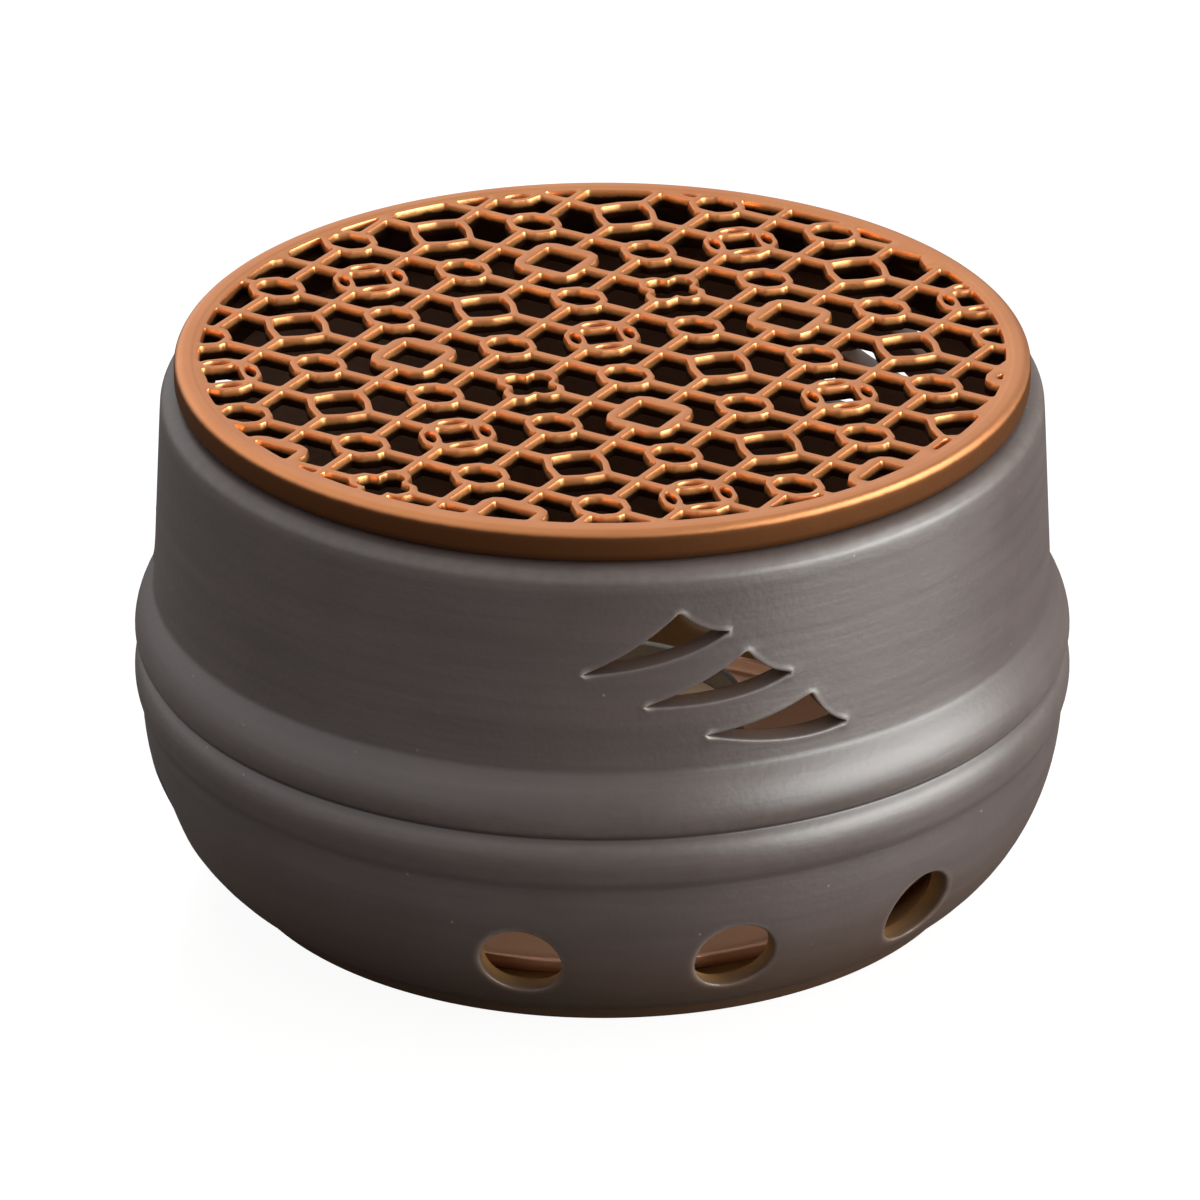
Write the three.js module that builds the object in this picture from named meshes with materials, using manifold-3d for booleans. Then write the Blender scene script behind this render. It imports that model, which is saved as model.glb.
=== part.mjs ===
// Teapot warmer: a thrown stoneware drum with vents, a cast openwork grate on its rim, and a
// tealight on a copper saucer inside. Millimetres, +Z up, origin at the centre of the base,
// the middle of the front vents facing -Y.
import * as THREE from 'three';
import { mergeVertices } from 'three/addons/utils/BufferGeometryUtils.js';
import Module from 'manifold-3d';

const wasm = await Module();
wasm.setup();

// Shared clearances and cutting overrun
const fitClearance = 0.3;
const overrun = 2;
const flatTolerance = 0.0005;

// Grate: outer band, openwork plate and locating lip
const grateRadius = 56;
const grateHeight = 4.5;
const bandWidth = 3.4;
const bandEdgeRound = 1.3;
const bandFootRound = 1.5;
const plateThickness = 2;
const plateDrop = 0.1;
const lipWidth = 1.4;
const lipDepth = 3;
const lipChamfer = 0.4;

// Openwork pattern: a square net of bars, turned and set off the centre of the plate
const netPitch = 8.97;
const barWidth = 1.2;
const netTurn = THREE.MathUtils.degToRad(-48.1);
const netShiftX = 1.36;
const netShiftY = 4.54;
const plateWeld = 0.4;
const ovalLength = 7.7;
const ovalWidth = 6.5;
const frameWidth = 1.15;
const squareWidth = 9.7;
const squareHole = 6.1;
const diamondReach = 5.4;
const diamondBow = 0.4;
const flowerNotch = 0.55;
const petalReach = 6.4;
const petalRoom = 3.3;
const petalLength = 7.2;
const petalWidth = 3;
const petalSlotLength = 3.9;
const petalSlotWidth = 1.2;
const petalBellyShare = 0.2;

// Body: heights of its parts, counted up from the table
const bodyHeight = 68.5;
const footHeight = 2.3;
const footRadius = 49;
const footStep = 1.3;
const footBandWidth = 4.5;
const footRecess = 1.5;
const bellyHeight = 25.2;
const lowerRibHeight = 6.85;
const upperRibHeight = 8.55;

// Body: how far its parts stand out, counted from the wall's foot
const wallTaper = 1.3;
const ribReach = 2.6;
const upperGrooveReach = 1.2;
const lowerGrooveReach = 1.8;
const seatWidth = 1.9;
const shoulderWidth = 3.1;
const shoulderDrop = 2;
const wallThickness = 3.5;
const floorThickness = 3.5;
const floorCorner = 10;
const rimDepth = 2.6;

// Vents and air holes
const groupCount = 3;
const finLength = 19.3;
const finLiftShare = 0.525;
const finFirstArc = 19.9;
const finStepDownShare = 0.172;
const finStepRight = 7.85;
const finTurns = [23, 15.6, 3.5].map(THREE.MathUtils.degToRad);
const airHoleRadius = 5.3;
const airHoleLift = 12.7;
const airHoleSpacing = 28.3;

// Saucer under the tealight
const saucerThickness = 1;
const saucerHeight = 2.4;
const saucerFlare = 1.3;
const saucerEdgeGap = 1.8;
const beadWidth = 1.4;
const beadHeight = 1.25;

// Tealight: cup, wax, wick tab and wick
const cupRadius = 19.2;
const cupHeight = 16;
const cupWall = 0.5;
const cupDraft = 0.5;
const cupRimRoll = 0.6;
const waxHeight = 12;
const waxDish = 0.6;
const tabRadius = 6.5;
const tabThickness = 0.5;
const neckHeight = 3.5;
const neckWall = 0.4;
const wickRadius = 0.8;
const wickHeight = 17.5;

// Facets
const bodySides = 48;
const bandSides = 48;
const saucerSides = 40;
const cupSides = 32;
const tabSides = 20;
const wickSides = 10;
const holeSides = 20;

// Places worked out from the sizes above
const bandInner = grateRadius - bandWidth;
const mouthRadius = bandInner + fitClearance;
const wallTopRadius = mouthRadius + seatWidth + shoulderWidth;
const wallFootRadius = wallTopRadius + wallTaper;
const upperGrooveZ = bellyHeight + lowerRibHeight;
const wallFootZ = upperGrooveZ + upperRibHeight;
const wallTopZ = bodyHeight - shoulderDrop;
const floorTop = footRecess + floorThickness;
const saucerFloorTop = floorTop + saucerThickness;
const cupFloorTop = saucerFloorTop + cupWall;

// Turns a three.js geometry into a solid that can be joined and cut.
function solidOf(geometry) {
  const bare = geometry.clone();
  bare.deleteAttribute('normal');
  bare.deleteAttribute('uv');
  const welded = mergeVertices(bare);
  const triangles = [];
  const index = welded.index.array;
  for (let k = 0; k < index.length; k += 3) {
    const [a, b, c] = [index[k], index[k + 1], index[k + 2]];
    if (a !== b && b !== c && c !== a) triangles.push(a, b, c);
  }
  const vertProperties = new Float32Array(welded.attributes.position.array);
  const triVerts = new Uint32Array(triangles);
  return new wasm.Manifold(new wasm.Mesh({ numProp: 3, vertProperties, triVerts }));
}

// Turns a joined or cut solid back into a geometry, without the spare points on its flat faces.
function geometryOf(solid) {
  const mesh = new wasm.Manifold(solid.getMesh()).simplify(flatTolerance).getMesh();
  const geometry = new THREE.BufferGeometry();
  geometry.setAttribute('position', new THREE.BufferAttribute(mesh.vertProperties, 3));
  geometry.setIndex(new THREE.BufferAttribute(mesh.triVerts, 1));
  geometry.computeVertexNormals();
  return geometry;
}

const joined = (solids) => solids.reduce((whole, solid) => whole.add(solid));

// A turned piece: its profile is in (radius, height) and runs up the outside and down the inside.
function turned(profile, sides) {
  return new THREE.LatheGeometry(profile, sides).rotateX(Math.PI / 2);
}

const at = (radius, height) => new THREE.Vector2(radius, height);

// Points of a smooth stretch of a profile, without its first point.
function bend(from, leave, arrive, to, steps) {
  return new THREE.CubicBezierCurve(from, leave, arrive, to).getPoints(steps).slice(1);
}

// A quarter round from one point to another, which leaves upright or lying.
function quarter(from, to, uprightFirst, steps) {
  const roundShare = 0.5523;
  const across = (to.x - from.x) * roundShare;
  const up = (to.y - from.y) * roundShare;
  const leave = uprightFirst ? at(from.x, from.y + up) : at(from.x + across, from.y);
  const arrive = uprightFirst ? at(to.x - across, to.y) : at(to.x, to.y - up);
  return bend(from, leave, arrive, to, steps);
}

// Stands an upright cutter at an angle round the body, pointing outwards. The angle is counted
// from the front, to the right as seen from outside.
function aroundBody(geometry, angle, radius, height) {
  const right = new THREE.Vector3(Math.cos(angle), Math.sin(angle), 0);
  const up = new THREE.Vector3(0, 0, 1);
  const outwards = new THREE.Vector3(Math.sin(angle), -Math.cos(angle), 0);
  const place = new THREE.Matrix4().makeBasis(right, up, outwards);
  place.setPosition(outwards.x * radius, outwards.y * radius, height);
  return geometry.applyMatrix4(place);
}

function wallRadiusAt(height) {
  const share = (height - wallFootZ) / (wallTopZ - wallFootZ);
  return wallFootRadius - wallTaper * share;
}

// Stoneware body: one thrown and fired piece
function bodyProfile() {
  const creaseRadius = footRadius + footStep;
  const crease = at(creaseRadius, footHeight);
  const lowerGroove = at(wallFootRadius + lowerGrooveReach, bellyHeight);
  const upperGroove = at(wallFootRadius + upperGrooveReach, upperGrooveZ);
  const wallFoot = at(wallFootRadius, wallFootZ);
  const wallTop = at(wallTopRadius, wallTopZ);
  const seatEdge = at(mouthRadius + seatWidth, bodyHeight);
  const bellyOut = lowerGroove.x - crease.x;
  const bellyUp = lowerGroove.y - crease.y;
  const bellyLowShare = at(0.606, 0.158);
  const bellyHighShare = 0.444;
  const belly = bend(
    crease,
    at(crease.x + bellyOut * bellyLowShare.x, crease.y + bellyUp * bellyLowShare.y),
    at(lowerGroove.x, lowerGroove.y - bellyUp * bellyHighShare),
    lowerGroove,
    6,
  );
  const ribPullShare = 1.28;
  const ribOut = wallFootRadius + ribReach * ribPullShare;
  const ribEndShare = 0.15;
  const lowerRib = bend(
    lowerGroove,
    at(ribOut - ribReach * ribEndShare, bellyHeight + lowerRibHeight * ribEndShare),
    at(ribOut, upperGrooveZ - lowerRibHeight * ribEndShare),
    upperGroove,
    4,
  );
  const ribLeaveShare = 0.11;
  const ribArriveShare = 0.35;
  const upperRib = bend(
    upperGroove,
    at(ribOut + ribReach * ribEndShare, upperGrooveZ + upperRibHeight * ribLeaveShare),
    at(wallFootRadius + ribReach, wallFootZ - upperRibHeight * ribArriveShare),
    wallFoot,
    5,
  );
  const innerFoot = at(wallFootRadius - wallThickness, wallFootZ);
  const innerBelly = at(lowerGroove.x - wallThickness, bellyHeight);
  const floorEdge = at(innerBelly.x - floorCorner, floorTop);
  const rimFoot = at(mouthRadius, bodyHeight - rimDepth);
  const rimSlope = wallTopRadius - wallThickness - mouthRadius;
  const innerTop = at(mouthRadius + rimSlope, bodyHeight - rimDepth - rimSlope);
  const floorRound = quarter(floorEdge, innerBelly, false, 5).reverse().slice(1);
  return [
    at(0, footRecess),
    at(footRadius - footBandWidth - footRecess, footRecess),
    at(footRadius - footBandWidth, 0),
    at(footRadius, 0),
    crease,
    ...belly,
    ...lowerRib,
    ...upperRib,
    wallTop,
    ...quarter(wallTop, seatEdge, true, 3),
    at(mouthRadius, bodyHeight),
    rimFoot,
    innerTop,
    innerFoot,
    innerBelly,
    ...floorRound,
    floorEdge,
    at(0, floorTop),
  ];
}

// One vent, pierced like a shark's fin: its tip at the origin and its blunt end to the right.
function finShape() {
  const share = {
    top: at(0.756, 0.14),
    topPull: at(0.42, 0.01),
    endPull: at(0.83, -0.06),
    end: at(1, -0.14),
    underPull: at(0.6, -0.2),
  };
  const [top, topPull, endPull, end, underPull] = Object.values(share).map((s) => {
    return s.multiplyScalar(finLength);
  });
  const shape = new THREE.Shape();
  shape.moveTo(0, 0);
  shape.quadraticCurveTo(topPull.x, topPull.y, top.x, top.y);
  shape.quadraticCurveTo(endPull.x, endPull.y, end.x, end.y);
  shape.quadraticCurveTo(underPull.x, underPull.y, 0, 0);
  return shape;
}

function finCutters(groupAngle) {
  const depth = wallThickness + overrun * 2;
  const wallHeight = wallTopZ - wallFootZ;
  const midShare = 0.5;
  return finTurns.map((turn, k) => {
    const tipZ = wallFootZ + wallHeight * (finLiftShare - finStepDownShare * k);
    const radius = wallRadiusAt(tipZ);
    const reach = finLength * midShare * Math.cos(turn);
    const angle = groupAngle + (finStepRight * k - finFirstArc + reach) / radius;
    const cutter = new THREE.ExtrudeGeometry(finShape(), {
      depth,
      bevelEnabled: false,
      curveSegments: 4,
    });
    cutter.rotateZ(turn).translate(-reach, 0, 0);
    return aroundBody(cutter, angle, radius - wallThickness - overrun, tipZ);
  });
}

function airHoleCutters(groupAngle) {
  const depth = floorCorner + overrun * 2;
  const outside = wallFootRadius + ribReach + overrun;
  return [-1, 0, 1].map((side) => {
    const angle = groupAngle + (side * airHoleSpacing) / wallFootRadius;
    const cutter = new THREE.CylinderGeometry(airHoleRadius, airHoleRadius, depth, holeSides);
    cutter.rotateX(Math.PI / 2).translate(0, 0, depth / 2);
    return aroundBody(cutter, angle, outside - depth, airHoleLift);
  });
}

function makeBody() {
  let body = solidOf(turned(bodyProfile(), bodySides));
  for (let g = 0; g < groupCount; g += 1) {
    const groupAngle = (g * 2 * Math.PI) / groupCount;
    for (const cutter of [...finCutters(groupAngle), ...airHoleCutters(groupAngle)]) {
      body = body.subtract(solidOf(cutter));
    }
  }
  return geometryOf(body);
}

// Grate: heights are counted from the seat, where the band lies on the body
function bandGeometry() {
  const lipInner = bandInner - lipWidth;
  const sideFoot = at(grateRadius, bandFootRound);
  const sideTop = at(grateRadius, grateHeight - bandEdgeRound);
  const topEdge = at(grateRadius - bandEdgeRound, grateHeight);
  const footEdge = at(grateRadius - bandFootRound, 0);
  const ledge = grateHeight - plateDrop - plateThickness;
  const profile = [
    at(lipInner, -lipDepth),
    at(bandInner - lipChamfer, -lipDepth),
    at(bandInner, lipChamfer - lipDepth),
    at(bandInner, 0),
    footEdge,
    ...quarter(footEdge, sideFoot, false, 3),
    sideTop,
    ...quarter(sideTop, topEdge, true, 3),
    at(bandInner, grateHeight),
    at(bandInner, ledge),
    at(lipInner, ledge),
    at(lipInner, -lipDepth),
  ];
  return turned(profile, bandSides);
}

function slab(points, from, thickness) {
  const shape = new THREE.Shape(points);
  const options = { depth: thickness, bevelEnabled: false };
  return solidOf(new THREE.ExtrudeGeometry(shape, options).translate(0, 0, from));
}

const rimmed = (points) => slab(points, 0, plateThickness);
const hole = (points) => slab(points, -overrun, plateThickness + overrun * 2);

// An oval with flattened sides, as eight points.
function oval(length, width) {
  const endShare = 0.42;
  const sideShare = 0.48;
  const [x, y] = [length / 2, width / 2];
  const corner = [at(x, y * endShare), at(x * sideShare, y)];
  const mirrored = corner.map((p) => at(-p.x, p.y)).reverse();
  const upper = [...corner, ...mirrored];
  return [...upper, ...upper.map((p) => at(-p.x, -p.y))];
}

function rectangle(width, height) {
  const [x, y] = [width / 2, height / 2];
  return [at(x, y), at(-x, y), at(-x, -y), at(x, -y)];
}

// A square with its corners cut off, as the rounded square frame is.
function softSquare(width) {
  const half = width / 2;
  const flatShare = 0.55;
  const cornerShare = 0.86;
  const points = [];
  for (let k = 0; k < 4; k += 1) {
    const turn = (k * Math.PI) / 2;
    const side = [
      at(half, -half * flatShare),
      at(half, half * flatShare),
      at(half * cornerShare, half * cornerShare),
    ];
    points.push(...side.map((p) => p.rotateAround(at(0, 0), turn)));
  }
  return points;
}

// A diamond whose four sides bow out, or in where the bow is negative.
function diamond(reach, bow) {
  const middleShare = 0.5;
  const middle = reach * middleShare + bow / Math.SQRT2;
  const points = [];
  for (let k = 0; k < 4; k += 1) {
    const turn = (k * Math.PI) / 2;
    points.push(at(reach, 0).rotateAround(at(0, 0), turn));
    points.push(at(middle, middle).rotateAround(at(0, 0), turn));
  }
  return points;
}

// A flower: each side of the diamond is two lobes with a notch between them.
function flower(reach, bow, notch) {
  const nearShare = 0.7;
  const farShare = 0.3;
  const middleShare = 0.5;
  const lobe = bow / Math.SQRT2;
  const points = [];
  for (let k = 0; k < 4; k += 1) {
    const turn = (k * Math.PI) / 2;
    const dip = reach * middleShare - notch / Math.SQRT2;
    const side = [
      at(reach, 0),
      at(reach * nearShare + lobe, reach * farShare + lobe),
      at(dip, dip),
      at(reach * farShare + lobe, reach * nearShare + lobe),
    ];
    points.push(...side.map((p) => p.rotateAround(at(0, 0), turn)));
  }
  return points;
}

// A petal: a pointed lens that stands on one side of a diamond.
function petal(length, width, side, bellyShare) {
  const bellyWidthShare = 0.92;
  const tip = length / 2;
  const belly = length * bellyShare;
  const half = (width / 2) * bellyWidthShare;
  const points = [
    at(tip, 0),
    at(belly, half),
    at(-belly, half),
    at(-tip, 0),
    at(-belly, -half),
    at(belly, -half),
  ];
  const sideTurn = (side * Math.PI) / 2;
  const middle = petalReach / 2 - (petalWidth - frameWidth) / 2 / Math.SQRT2;
  const place = at(middle, middle).rotateAround(at(0, 0), sideTurn);
  const along = sideTurn + (Math.PI * 3) / 4;
  return points.map((p) => p.rotateAround(at(0, 0), along).add(place));
}

// What stands at each crossing of the net, counted in pitches from the petal motif.
function crossing(i, j) {
  const even = (n) => n % 2 === 0;
  if (even(i) !== even(j)) return null;
  if (!even(i)) {
    const ringHole = oval(ovalLength - frameWidth * 2, ovalWidth - frameWidth * 2);
    return { add: [oval(ovalLength, ovalWidth)], cut: [ringHole], first: [] };
  }
  const [a, b] = [i / 2, j / 2];
  if (even(a) && even(b)) {
    const sides = [0, 1, 2, 3];
    return {
      first: [diamond(petalRoom, 0)],
      add: sides.map((side) => petal(petalLength, petalWidth, side, petalBellyShare)),
      cut: sides.map((side) => petal(petalSlotLength, petalSlotWidth, side, petalBellyShare)),
    };
  }
  if (!even(a) && !even(b)) {
    return { first: [], add: [softSquare(squareWidth)], cut: [rectangle(squareHole, squareHole)] };
  }
  const inner = diamondReach - frameWidth * Math.SQRT2;
  if (even(a) && a % 4 === 0) {
    const outline = flower(diamondReach, diamondBow, flowerNotch);
    return { first: [], add: [outline], cut: [flower(inner, diamondBow, flowerNotch)] };
  }
  return { first: [], add: [diamond(diamondReach, diamondBow)], cut: [diamond(inner, diamondBow)] };
}

// The openwork plate: the net of bars with its motifs, turned to its place and trimmed round.
function plateSolid() {
  const plateRadius = bandInner + plateWeld;
  const shift = at(netShiftX, netShiftY);
  const reach = Math.ceil((plateRadius + shift.length()) / netPitch) + 1;
  const length = reach * netPitch * 2;
  const bars = [];
  const parts = { first: [], add: [], cut: [] };
  for (let i = -reach; i <= reach; i += 1) {
    bars.push(rimmed(rectangle(barWidth, length).map((p) => p.add(at(i * netPitch, 0)))));
    bars.push(rimmed(rectangle(length, barWidth).map((p) => p.add(at(0, i * netPitch)))));
    for (let j = -reach; j <= reach; j += 1) {
      const motif = crossing(i, j);
      const centre = at(i * netPitch, j * netPitch);
      const place = centre.clone().rotateAround(at(0, 0), netTurn).add(shift);
      if (!motif || place.length() > plateRadius + netPitch) continue;
      for (const kind of Object.keys(parts)) {
        const make = kind === 'add' ? rimmed : hole;
        parts[kind].push(...motif[kind].map((points) => make(points.map((p) => p.add(centre)))));
      }
    }
  }
  const net = joined(bars).subtract(joined(parts.first));
  const openwork = geometryOf(net.add(joined(parts.add)).subtract(joined(parts.cut)));
  openwork.rotateZ(netTurn).translate(shift.x, shift.y, 0);
  const disc = new THREE.CylinderGeometry(plateRadius, plateRadius, plateThickness * 3, bandSides);
  return solidOf(openwork).intersect(solidOf(disc.rotateX(Math.PI / 2)));
}

function makeGrate() {
  const plateFoot = grateHeight - plateDrop - plateThickness;
  const plate = geometryOf(plateSolid()).translate(0, 0, plateFoot);
  return geometryOf(solidOf(bandGeometry()).add(solidOf(plate)));
}

// Saucer: a pressed dish with a flared edge, and a bead that keeps the tealight in the middle
function makeSaucer() {
  const flatRadius = wallFootRadius + lowerGrooveReach - wallThickness - floorCorner - saucerEdgeGap;
  const edgeRadius = flatRadius + saucerFlare;
  const beadInner = cupRadius + fitClearance;
  const beadOuter = beadInner + beadWidth;
  const flareFoot = at(flatRadius, 0);
  const edgeUnder = at(edgeRadius, saucerHeight - saucerThickness);
  const edgeInner = at(edgeRadius - saucerThickness, saucerHeight);
  const flatTop = at(flatRadius - saucerThickness, saucerThickness);
  const beadTop = saucerThickness + beadHeight;
  const roundShare = 0.3;
  const profile = [
    at(0, 0),
    flareFoot,
    ...bend(flareFoot, at(flatRadius + saucerFlare / 2, 0), edgeUnder, edgeUnder, 3),
    at(edgeRadius, saucerHeight - saucerThickness * roundShare),
    at(edgeRadius - saucerThickness * roundShare, saucerHeight),
    edgeInner,
    ...bend(edgeInner, edgeInner, at(flatTop.x + saucerFlare / 2, flatTop.y), flatTop, 3),
    at(beadOuter, saucerThickness),
    at(beadOuter - beadWidth * roundShare, beadTop),
    at(beadInner + beadWidth * roundShare, beadTop),
    at(beadInner, saucerThickness),
    at(0, saucerThickness),
  ];
  return turned(profile, saucerSides);
}

// Tealight cup: thin drawn aluminium, a little narrower at its foot, with a rolled rim
function makeCup() {
  const footOuter = cupRadius - cupDraft;
  const bodyTop = cupHeight - cupRimRoll;
  const topOuter = cupRadius - cupRimRoll / 2;
  const profile = [
    at(0, 0),
    at(footOuter, 0),
    at(topOuter, bodyTop - cupRimRoll),
    at(cupRadius, bodyTop),
    at(cupRadius - cupRimRoll / 2, cupHeight),
    at(topOuter - cupWall, bodyTop),
    at(footOuter - cupWall, cupWall),
    at(0, cupWall),
  ];
  return turned(profile, cupSides);
}

// Wax: fills the cup round the wick tab and the wick, and sinks a little towards the wick
function makeWax() {
  const clear = fitClearance;
  const neckOuter = wickRadius + clear + neckWall;
  const foot = cupRadius - cupDraft - cupWall - clear;
  const top = foot + (cupDraft - cupRimRoll / 2) * (waxHeight / cupHeight);
  const tabRoom = tabRadius + clear;
  const profile = [
    at(tabRoom, 0),
    at(foot, 0),
    at(top, waxHeight),
    at(neckOuter + tabThickness, waxHeight - waxDish),
    at(wickRadius + clear, waxHeight - waxDish),
    at(wickRadius + clear, tabThickness + neckHeight + clear),
    at(neckOuter + clear, tabThickness + neckHeight + clear),
    at(neckOuter + clear, tabThickness + clear),
    at(tabRoom, tabThickness + clear),
    at(tabRoom, 0),
  ];
  return turned(profile, cupSides);
}

// Wick tab: a thin steel disc with a neck that holds the wick upright
function makeTab() {
  const bore = wickRadius + fitClearance;
  const neckTop = tabThickness + neckHeight;
  const profile = [
    at(0, 0),
    at(tabRadius, 0),
    at(tabRadius, tabThickness),
    at(bore + neckWall, tabThickness),
    at(bore + neckWall, neckTop),
    at(bore, neckTop),
    at(bore, tabThickness),
    at(0, tabThickness),
  ];
  return turned(profile, tabSides);
}

// Wick: waxed cotton, with a softly rounded end
function makeWick() {
  const roundShare = 0.5;
  const profile = [
    at(0, 0),
    at(wickRadius, 0),
    at(wickRadius, wickHeight - wickRadius * roundShare),
    at(wickRadius * roundShare, wickHeight),
    at(0, wickHeight),
  ];
  return turned(profile, wickSides);
}

const finishes = {
  stoneware: { color: 0x4a4341, roughness: 0.55, metalness: 0 },
  copper: { color: 0xb8693c, roughness: 0.38, metalness: 1 },
  aluminium: { color: 0xc9c9cc, roughness: 0.3, metalness: 1 },
  wax: { color: 0xd9b88c, roughness: 0.45, metalness: 0 },
  steel: { color: 0xa8a9ab, roughness: 0.4, metalness: 1 },
  cotton: { color: 0xe9e2cf, roughness: 0.9, metalness: 0 },
};

const pieces = [
  { name: 'stoneware_body', make: makeBody, finish: 'stoneware', z: 0 },
  { name: 'copper_grate', make: makeGrate, finish: 'copper', z: bodyHeight },
  { name: 'candle_saucer', make: makeSaucer, finish: 'copper', z: floorTop },
  { name: 'tealight_cup', make: makeCup, finish: 'aluminium', z: saucerFloorTop },
  { name: 'tealight_wax', make: makeWax, finish: 'wax', z: cupFloorTop },
  { name: 'wick_tab', make: makeTab, finish: 'steel', z: cupFloorTop },
  { name: 'wick', make: makeWick, finish: 'cotton', z: cupFloorTop + tabThickness },
];

const warmer = new THREE.Group();
for (const piece of pieces) {
  const material = new THREE.MeshStandardMaterial(finishes[piece.finish]);
  const mesh = new THREE.Mesh(piece.make(), material);
  mesh.name = piece.name;
  mesh.position.z = piece.z;
  warmer.add(mesh);
}

export default warmer;
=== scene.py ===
# %% [markdown]
# # A stoneware teapot warmer with a cast copper grate
# The warmer is a drum thrown on a wheel, glazed dark and fired. Fins and round holes are cut
# through its wall to let air in and light out. A cast copper grate lies on its rim and carries
# the pot, and a tealight burns on a copper saucer inside.
#
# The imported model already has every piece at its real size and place. This lesson dresses it:
# each piece is made again as a fine mesh on the same measures, and each finish is built from
# what the real surface is. Lengths are written in millimetres and turned to metres at the end.

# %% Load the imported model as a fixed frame
import math
import bmesh
import bpy
import numpy as np
from mathutils.geometry import delaunay_2d_cdt
from mathutils.kdtree import KDTree
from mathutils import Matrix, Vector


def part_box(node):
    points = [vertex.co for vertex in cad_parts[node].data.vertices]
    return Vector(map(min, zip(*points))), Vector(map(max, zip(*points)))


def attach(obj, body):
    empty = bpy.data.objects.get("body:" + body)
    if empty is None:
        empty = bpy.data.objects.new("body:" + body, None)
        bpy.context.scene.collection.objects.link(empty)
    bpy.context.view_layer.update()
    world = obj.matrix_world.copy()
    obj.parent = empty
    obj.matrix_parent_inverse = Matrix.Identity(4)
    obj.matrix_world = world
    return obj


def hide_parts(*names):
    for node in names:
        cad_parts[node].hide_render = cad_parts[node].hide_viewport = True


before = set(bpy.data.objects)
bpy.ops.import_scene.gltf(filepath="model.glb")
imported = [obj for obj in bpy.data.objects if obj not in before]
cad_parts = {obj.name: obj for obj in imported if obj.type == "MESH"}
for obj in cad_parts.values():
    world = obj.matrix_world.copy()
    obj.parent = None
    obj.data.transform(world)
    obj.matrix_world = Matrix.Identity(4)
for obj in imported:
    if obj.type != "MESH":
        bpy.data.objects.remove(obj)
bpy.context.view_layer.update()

# %% [markdown]
# ## The view
# The picture was taken from about one metre away, looking down by some 26 degrees: the round rim
# shows as an ellipse less than half as tall as it is wide. A long lens from the same distance
# gives the same flat perspective. The place was solved from the ellipse of the rim and from the
# net of the openwork, so it isn't a round number.

# %% Place the camera
VIEW_PLACE = (-0.34955, -1.1423, 0.61261)
VIEW_TILT = 64.26
VIEW_TURN = -17.0
VIEW_LENS = 300.89
VIEW_FAR = 20.0

lens = bpy.data.cameras.new("long_lens")
lens.lens = VIEW_LENS
lens.clip_end = VIEW_FAR
camera = bpy.data.objects.new("camera", lens)
camera.location = VIEW_PLACE
camera.rotation_euler = (math.radians(VIEW_TILT), 0, math.radians(VIEW_TURN))
scene = bpy.context.scene
scene.collection.objects.link(camera)
scene.camera = camera
scene.view_settings.view_transform = "Standard"
print("camera at", VIEW_PLACE, "with a lens of", VIEW_LENS, "mm")

# %% [markdown]
# ## Colours and nodes
# Colours are picked as sRGB hex values, the way a screen shows them, but shaders count light in
# linear steps, so one function turns the first into the second. A material is a small graph of
# nodes, and one more function adds a node with its settings and the links that feed it. Patterns
# are laid out in real millimetres, so each new material starts with its points in that unit.

# %% Three helpers for every material
MM = 0.001


def to_linear(hex_colour):
    """An sRGB hex colour as the linear colour that a shader reads."""
    shares = [int(hex_colour[k:k + 2], 16) / 255 for k in (0, 2, 4)]
    linear = [s / 12.92 if s <= 0.04045 else ((s + 0.055) / 1.055) ** 2.4 for s in shares]
    return (*linear, 1.0)


def add(tree, kind, settings, links):
    """Adds a node, sets its sockets or options by name, and links outputs into its sockets."""
    made = tree.nodes.new(kind)
    for name, value in settings.items():
        if isinstance(name, int) or name in made.inputs:
            made.inputs[name].default_value = value
        else:
            setattr(made, name, value)
    for name, output in links.items():
        tree.links.new(output, made.inputs[name])
    return made


def new_material(name):
    """An empty material: it, its nodes, its surface shader and each point's place in mm."""
    material = bpy.data.materials.new(name)
    material.use_nodes = True
    tree = material.node_tree
    tree.nodes.clear()
    surface = add(tree, "ShaderNodeBsdfPrincipled", {}, {})
    add(tree, "ShaderNodeOutputMaterial", {}, {"Surface": surface.outputs["BSDF"]})
    place = add(tree, "ShaderNodeTexCoord", {}, {}).outputs["Object"]
    in_mm = add(
        tree, "ShaderNodeVectorMath", {"operation": "SCALE", "Scale": 1 / MM}, {0: place}
    ).outputs[0]
    return material, tree, surface, in_mm


print("dark glaze in linear light:", [round(c, 3) for c in to_linear("4a4341")[:3]])

# %% [markdown]
# ## Light
# Dark glaze shows its form by reflections, so the light has a bright side and a dark side, like
# a table next to a large window. The sky runs smoothly from one to the other and dims overhead,
# as a ceiling does. A wide, low lamp stands for the window and draws the sheen down the wall, and
# a weak one above it, for the fanlight, lights the shoulder. Both lean a little to green, as
# daylight through thick glass does. Only the camera sees a plain white background.

# %% Sky and lamps
SKY_DARK = 0.3
SKY_BRIGHT = 1.03
SKY_TURN = -120.0
SKY_RISE = 25.0
DARK_UNTIL = -0.3
BRIGHT_FROM = 0.75
DIM_FROM = 0.45
DIM_FULL = 0.85
DIM_SHARE = 0.68
WINDOW = {"turn": 52.0, "rise": 13.0, "distance": 1.0, "size": (1.1, 0.42), "power": 17.0}
FANLIGHT = {"turn": 72.0, "rise": 42.0, "distance": 1.0, "size": (0.8, 0.4), "power": 5.0}
DAYLIGHT = "f6faf8"


def direction(turn, rise):
    """A way to look, its turn counted from the front to the right, its rise from level."""
    a, e = math.radians(turn), math.radians(rise)
    return (math.sin(a) * math.cos(e), -math.cos(a) * math.cos(e), math.sin(e))


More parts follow.
